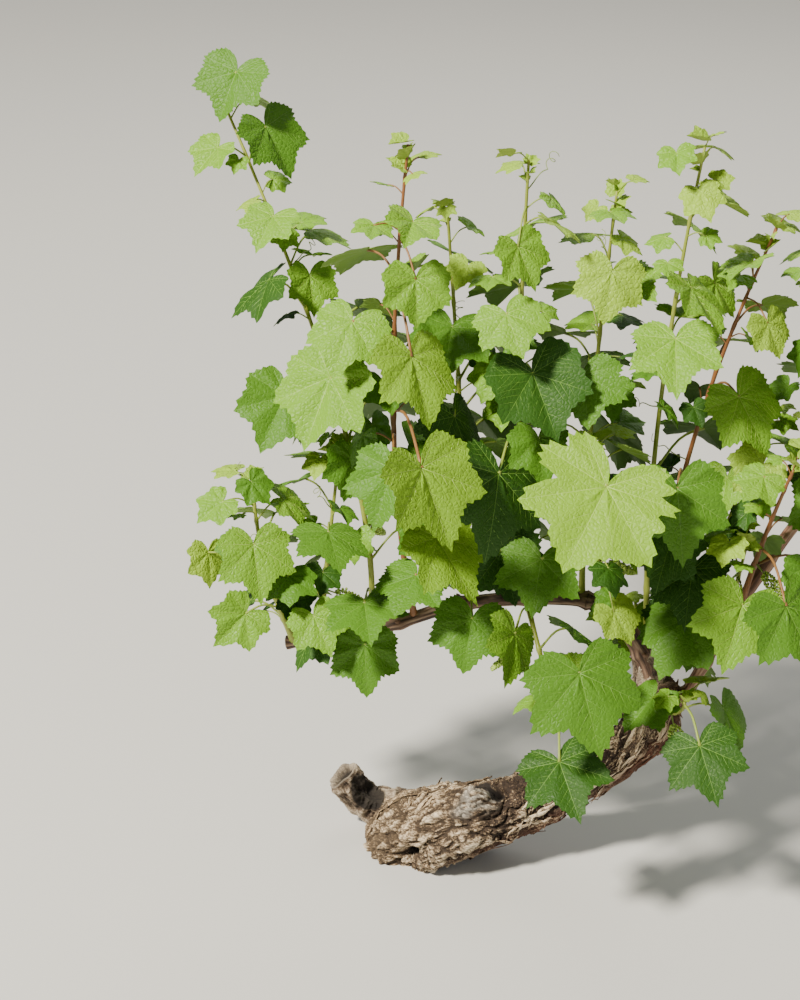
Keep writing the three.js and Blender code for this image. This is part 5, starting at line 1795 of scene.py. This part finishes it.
def peeling_strips():
    """Thin pointed strips that lie along the grain and come away from the trunk at one end."""
    random = np.random.default_rng(PEEL.seed)
    count, rings = PEEL.count, PEEL.rings
    drawn_each = lambda least, most: random.uniform(least, most, (count, 1, 1))
    pick = lambda name: drawn_each(PEEL[name][0], sum(PEEL[name]))
    share = np.linspace(0, 1, rings)[None, :, None]
    share_out = np.where(random.random((count, 1, 1)) < 0.5, 1 - share, share)
    start, turn = drawn_each(*PEEL.start), drawn_each(0, TURN)
    fraction = np.clip(start + pick("length") / TRUNK_LENGTH * share, 0, PEEL.end)
    run = TURN * (TRUNK_LOOK.twist + drawn_each(*PEEL.lean)) * (fraction - start)
    angle = turn - run + PEEL.sway * np.sin(PEEL.sway_rate * share + turn)
    half = 0.5 * pick("width") * (PEEL.tip_width + (1 - PEEL.tip_width) * np.sin(np.pi * share) ** 0.6)
    side, lower = np.array([-1, 1, 1, -1]), np.array([0, 0, 1, 1])
    lift = PEEL.least_lift + pick("lift") * share_out**2.4 + PEEL.thick * lower
    angle = angle - side * half / between(TRUNK_RADII, fraction)
    fraction = np.broadcast_to(fraction, angle.shape)
    points = skin_places(TRUNK_LINE, lambda *place: trunk_skin_radius(*place) + lift, fraction, angle)
    keep = (points[..., 2].min((1, 2)) > PEEL.clear_of_ground) & (
        boss_distance(fraction, angle).min((1, 2)) > PEEL.clear_of_boss)
    size, kept = 4 * rings, int(keep.sum())
    caps = np.array([[0, 2, 1], [0, 3, 2], [size - 4, size - 3, size - 2], [size - 4, size - 2, size - 1]])
    faces = (repeat_faces(part, kept, size) for part in (quads_of(np.arange(size).reshape(rings, 4)), caps))
    kept_points = points[keep].reshape(-1, 3)
    return (kept_points, *faces), fraction[keep].reshape(kept, -1), angle[keep].reshape(kept, -1)


strip_rows, fractions, angles = peeling_strips()
height = np.random.default_rng(PEEL.seed).uniform(*PEEL.height, (len(fractions), 1))
height = height * np.ones(fractions.shape)
masks = trunk_masks(fractions, angles, height, 0 * height)
make_piece("peeling_bark", strip_rows, bark, "trunk_bark", masks={name: masks[name][:-2] for name in masks})

# %% [markdown]
# ## Stub, spur and canes
# The dead stub and the gnarled spur are the same kind of skin with their own waves. The canes are
# last year's wood: smooth, striped along, thick at each joint, with a bud there.

# %% Stub and spur
ROUGH_LOOK = Sizes(sides=120, rings=90, cracks=[4, 6], wander=0.12, wander_cells=[5, 4], twist=0.1)
# The hollow shade paints the stub's hollow black and darkens its end face the deeper it lies.
CUT = Sizes(least=0.1, dark=(0.9, -3.2), darkest=9, grain_turn=0.4)


def rough_limb(name, limb, layers, seed, node, face, hollows=()):
    """A short rough limb: furrowed walls, then end rings, each a share of the radius and a depth."""
    sides, rings = ROUGH_LOOK.sides, ROUGH_LOOK.rings
    total = sum(layer[0] for layer in layers)
    wall = sides * rings

    def relief(fraction, angle):
        noise = lattice_noise(seed + 30, *ROUGH_LOOK.wander_cells, fraction, angle / TURN)
        turn = angle / TURN + ROUGH_LOOK.twist * fraction + ROUGH_LOOK.wander * noise
        return furrows(seed, layers, fraction, turn) - 0.5 * total

    def hollow(fraction, angle):
        return sum(row.depth * bump(row, fraction, angle) for row in hollows) + np.zeros(fraction.shape)

    def radius(fraction, angle):
        base = between(limb.radii, fraction) * (1 + waved(ROUGH_WAVES, fraction, angle))
        return base + relief(fraction, angle) - hollow(fraction, angle)

    rows = np.concatenate([np.linspace(0, 1, rings), np.ones(len(face))])[:, None]
    (points, *faces), fractions, angles = limb_skin(limb.line, rows, radius, sides)
    inner = points[wall:-2].reshape(len(face), sides, 3)
    shares, depths = (np.array(column)[:, None, None] for column in zip(*face))
    middle = limb.line(1.0)
    crack = lattice_noise(seed + 31, *ROUGH_LOOK.cracks, shares[..., 0], angles[:1] / TURN)[..., None]
    inner[:] = middle + (inner - middle) * shares + direction(limb.line, 1.0) * depths * (0.5 + crack)
    points[-1] = inner[-1].mean(0)
    points[:, 2] = np.maximum(points[:, 2], 0)
    cut = np.repeat([0.0, 1.0], [wall - sides, sides * (1 + len(face))])
    cut[wall:] *= np.repeat(np.linspace(1, CUT.least, len(face)), sides)
    # Painted shade: black in the hollow side of the stub, darker down the hollowed end, black at its deepest
    # middle.
    dark = np.clip(CUT.dark[0] * hollow(fractions, angles) + CUT.dark[1], 0, 1).ravel()
    dark[wall:] = np.maximum(dark[wall:], np.repeat(np.clip(-depths.ravel() / CUT.darkest, 0, 1), sides))
    run = angles + CUT.grain_turn * fractions
    grain = grain_of(length_of(limb.line), limb.radii[0], fractions, run)
    grain[wall:-2] *= np.repeat(shares.ravel(), sides)[:, None]
    make_piece(name, (points, *faces), dead_wood, "dead_wood", [node], {
        "shade": with_ends(np.clip(relief(fractions, angles) / total + 0.5, 0, 1)),
        "cut": np.append(cut, [0, 0]), "grain": grain, "hollow": np.append(dark, [0, 1]),
    }, flat_map(fractions))


DEAD_STOPS = [
    (0.0, (0.012, 0.007, 0.004)), (0.3, (0.040, 0.024, 0.015)), (0.55, (0.110, 0.075, 0.048)),
    (0.75, (0.235, 0.178, 0.122)), (1.0, (0.480, 0.395, 0.290)),
]
HOLLOW_FACE = [
    (0.96, 0.6), (0.88, 0.4), (0.78, -1.0), (0.66, -5.0), (0.52, -9.0), (0.36, -12), (0.2, -13), (0.06, -14),
]
SAWN_FACE = [(0.97, 0.5), (0.85, 0.9), (0.7, 0.7), (0.5, 0.3), (0.3, -0.6), (0.12, -1.6)]
# The stub's hollow is dented in and also painted black as shade.
STUB_HOLLOWS = [Sizes(along=0.6, round=4.1, length=0.36, width=1.15, depth=11)]
# The hollow tint of the dead wood is painted shade.
dead_wood = wood_material(
    "dead_wood", DEAD_STOPS, 240.0, relief=0.002, fibre_gain=1.3, speck_gain=1.0, masks=[
    ("cut", (0.300, 0.260, 0.205), 0.5), ("hollow", (0.008, 0.005, 0.003), 0.96),
])
STUB_LAYERS = [(4.5, 5, 8), (2.6, 12, 19), (1.4, 30, 44)]
SPUR_LAYERS = [(3.6, 4, 7), (2.4, 9, 15), (1.0, 24, 34)]
rough_limb("stub", STUB, STUB_LAYERS, 61, "dead_stub", HOLLOW_FACE, STUB_HOLLOWS)
rough_limb("spur", SPUR, SPUR_LAYERS, 71, "head_spur", SAWN_FACE)

# %% Canes
CANE_LOOK = Sizes(sides=48, step=1.6, stripes=0.35, cells=[12, 22], seed=80)


def cane(name, limb, material, seed):
    """A cane: the frame's swollen joints, and fine stripes along it."""
    span = span_of(limb)

    def share_of(fraction):
        return (fraction - limb.start) / (limb.end - limb.start)

    def stripes(fraction, angle):
        return lattice_noise(seed, *CANE_LOOK.cells, share_of(fraction), angle / TURN) - 0.5

    def radius(fraction, angle):
        place = share_of(fraction) * span
        off = place - SWELL.spacing * np.round(place / SWELL.spacing)
        swell = SWELL.height * bell(off, SWELL.width)
        smooth = between(limb.radii, share_of(fraction)) * (1 + swell)
        return smooth + CANE_LOOK.stripes * stripes(fraction, angle)

    rows = np.linspace(limb.start, limb.end, int(span / CANE_LOOK.step))[:, None]
    mesh_rows, fractions, angles = limb_skin(limb.line, rows, radius, CANE_LOOK.sides)
    masks = {"shade": with_ends(np.clip(stripes(fractions, angles) + 0.5, 0, 1)),
             "grain": grain_of(span, limb.radii[0], share_of(fractions), angles)}
    make_piece(f"{name}_bark", mesh_rows, material, "cane_bark", [name], masks, flat_map(fractions))


DARK_CANE_STOPS = [
    (0.0, (0.035, 0.018, 0.012)), (0.35, (0.095, 0.050, 0.032)), (0.65, (0.190, 0.110, 0.070)),
    (1.0, (0.330, 0.220, 0.150)),
]
PINK_CANE_STOPS = [
    (0.0, (0.100, 0.042, 0.026)), (0.35, (0.210, 0.098, 0.058)), (0.65, (0.330, 0.180, 0.110)),
    (1.0, (0.480, 0.310, 0.220)),
]
dark_cane = wood_material("dark_cane", DARK_CANE_STOPS, 420.0, roughness=0.7, relief=0.0005)
pink_cane = wood_material("young_cane", PINK_CANE_STOPS, 420.0, roughness=0.6, relief=0.0004)
for number, (name, limb) in enumerate(LIMBS.items()):
    cane(name, limb, dark_cane if name.startswith("left") else pink_cane, CANE_LOOK.seed + number)

# %% Buds on the canes
CANE_BUDS = Sizes(
    length=8.0, radius=2.6, seated=0.2, rings=10, sides=12, out=0.8, up=0.6, on=0.6,
    start=0.04, span=0.94, beside=(0.3, 0.5, 0.8),
)


def cane_buds(limb):
    """Pointed buds on the joints, on alternate sides, that lean towards the tip of the cane."""
    span = span_of(limb)
    order = np.arange(1, int((span - 2 * CANE_BUDS.length) / SWELL.spacing) + 1)
    place = order * SWELL.spacing / span
    fraction = on_limb(limb, place)
    tangent = direction(limb.line, fraction)
    side = np.stack([0 * order, CANE_BUDS.out * (-1.0) ** order, CANE_BUDS.up + 0 * order], -1)
    spoke = across(tangent, side)[0]
    heading = unit(spoke + CANE_BUDS.on * tangent)
    s = np.linspace(0, 1, CANE_BUDS.rings)
    base = limb.line(fraction) + between(limb.radii, place)[:, None] * (1 + 0.5 * SWELL.height) * spoke
    centres = base[:, None] + CANE_BUDS.length * (s[:, None] - CANE_BUDS.seated) * heading[:, None]
    radii = CANE_BUDS.radius * np.sin(np.pi * (CANE_BUDS.start + CANE_BUDS.span * s) ** 0.75) ** 0.8
    return tubes(centres, radii, CANE_BUDS.sides, CANE_BUDS.beside)


make_piece("cane_buds", joined([cane_buds(limb) for limb in LIMBS.values()]),
           plain_green("cane_bud", (0.17, 0.085, 0.045), 0.6), "cane_bark")

# %% [markdown]
# ## Floor, light and camera
# The vine stands on a plain pale floor, cut flat at ground level. One large soft lamp stands high to
# the left of the camera, as the sun does on the real plant, and a weak one fills the other side.

# %% Stage
STAGE = Sizes(floor=40.0, pale=(0.62, 0.62, 0.60), rough=0.9, sky=(0.86, 0.88, 0.88), sky_power=0.27)
# Each lamp: place, size, power, colour
LAMPS = {
    "key": ((-3.1, -2.8, 5.4), 0.8, 1050, (1.0, 0.93, 0.80)),
    "fill": ((2.6, -2.4, 1.4), 2.6, 18, (1.0, 0.98, 0.94)),
    "back": ((0.6, 2.6, 2.4), 2.2, 34, (1.0, 0.97, 0.88)),
}
AIM = (0.22, 0.0, 0.42)

floor_mesh = bpy.data.meshes.new("floor")
half = STAGE.floor / 2
corners = [(-half, -half, 0), (half, -half, 0), (half, half, 0), (-half, half, 0)]
floor_mesh.from_pydata(corners, [], [(0, 1, 2, 3)])
floor_mesh.materials.append(new_material("floor", Base_Color=(*STAGE.pale, 1), Roughness=STAGE.rough)[0])
placed("floor", floor_mesh)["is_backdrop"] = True

for name, (place, size, power, colour) in LAMPS.items():
    lamp = bpy.data.lights.new(name, "AREA")
    lamp.size, lamp.energy, lamp.color = size, power, colour
    towards = Vector(AIM) - Vector(place)
    placed(name, lamp, place, towards.to_track_quat("-Z", "Y").to_euler())

world = bpy.data.worlds.new("studio")
world.use_nodes = True
sky = world.node_tree.nodes["Background"].inputs
sky["Color"].default_value = (*STAGE.sky, 1)
sky["Strength"].default_value = STAGE.sky_power
bpy.context.scene.world = world
print("lamps:", len(LAMPS))

# %% Camera
CAMERA = Sizes(place=(0.184, -2.170, 1.556), tilt=63.0, turn=5.0, lens=81.0, sensor=36.0)
lens = bpy.data.cameras.new("camera")
lens.lens, lens.sensor_width = CAMERA.lens, CAMERA.sensor
turn = (math.radians(CAMERA.tilt), 0, math.radians(CAMERA.turn))
bpy.context.scene.camera = placed("camera", lens, CAMERA.place, turn)

# %% Measure and finish
visual_box = [list(corner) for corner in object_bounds()]
print("CAD box:", np.round(cad_box, 3).tolist(), "visual box:", np.round(visual_box, 3).tolist())
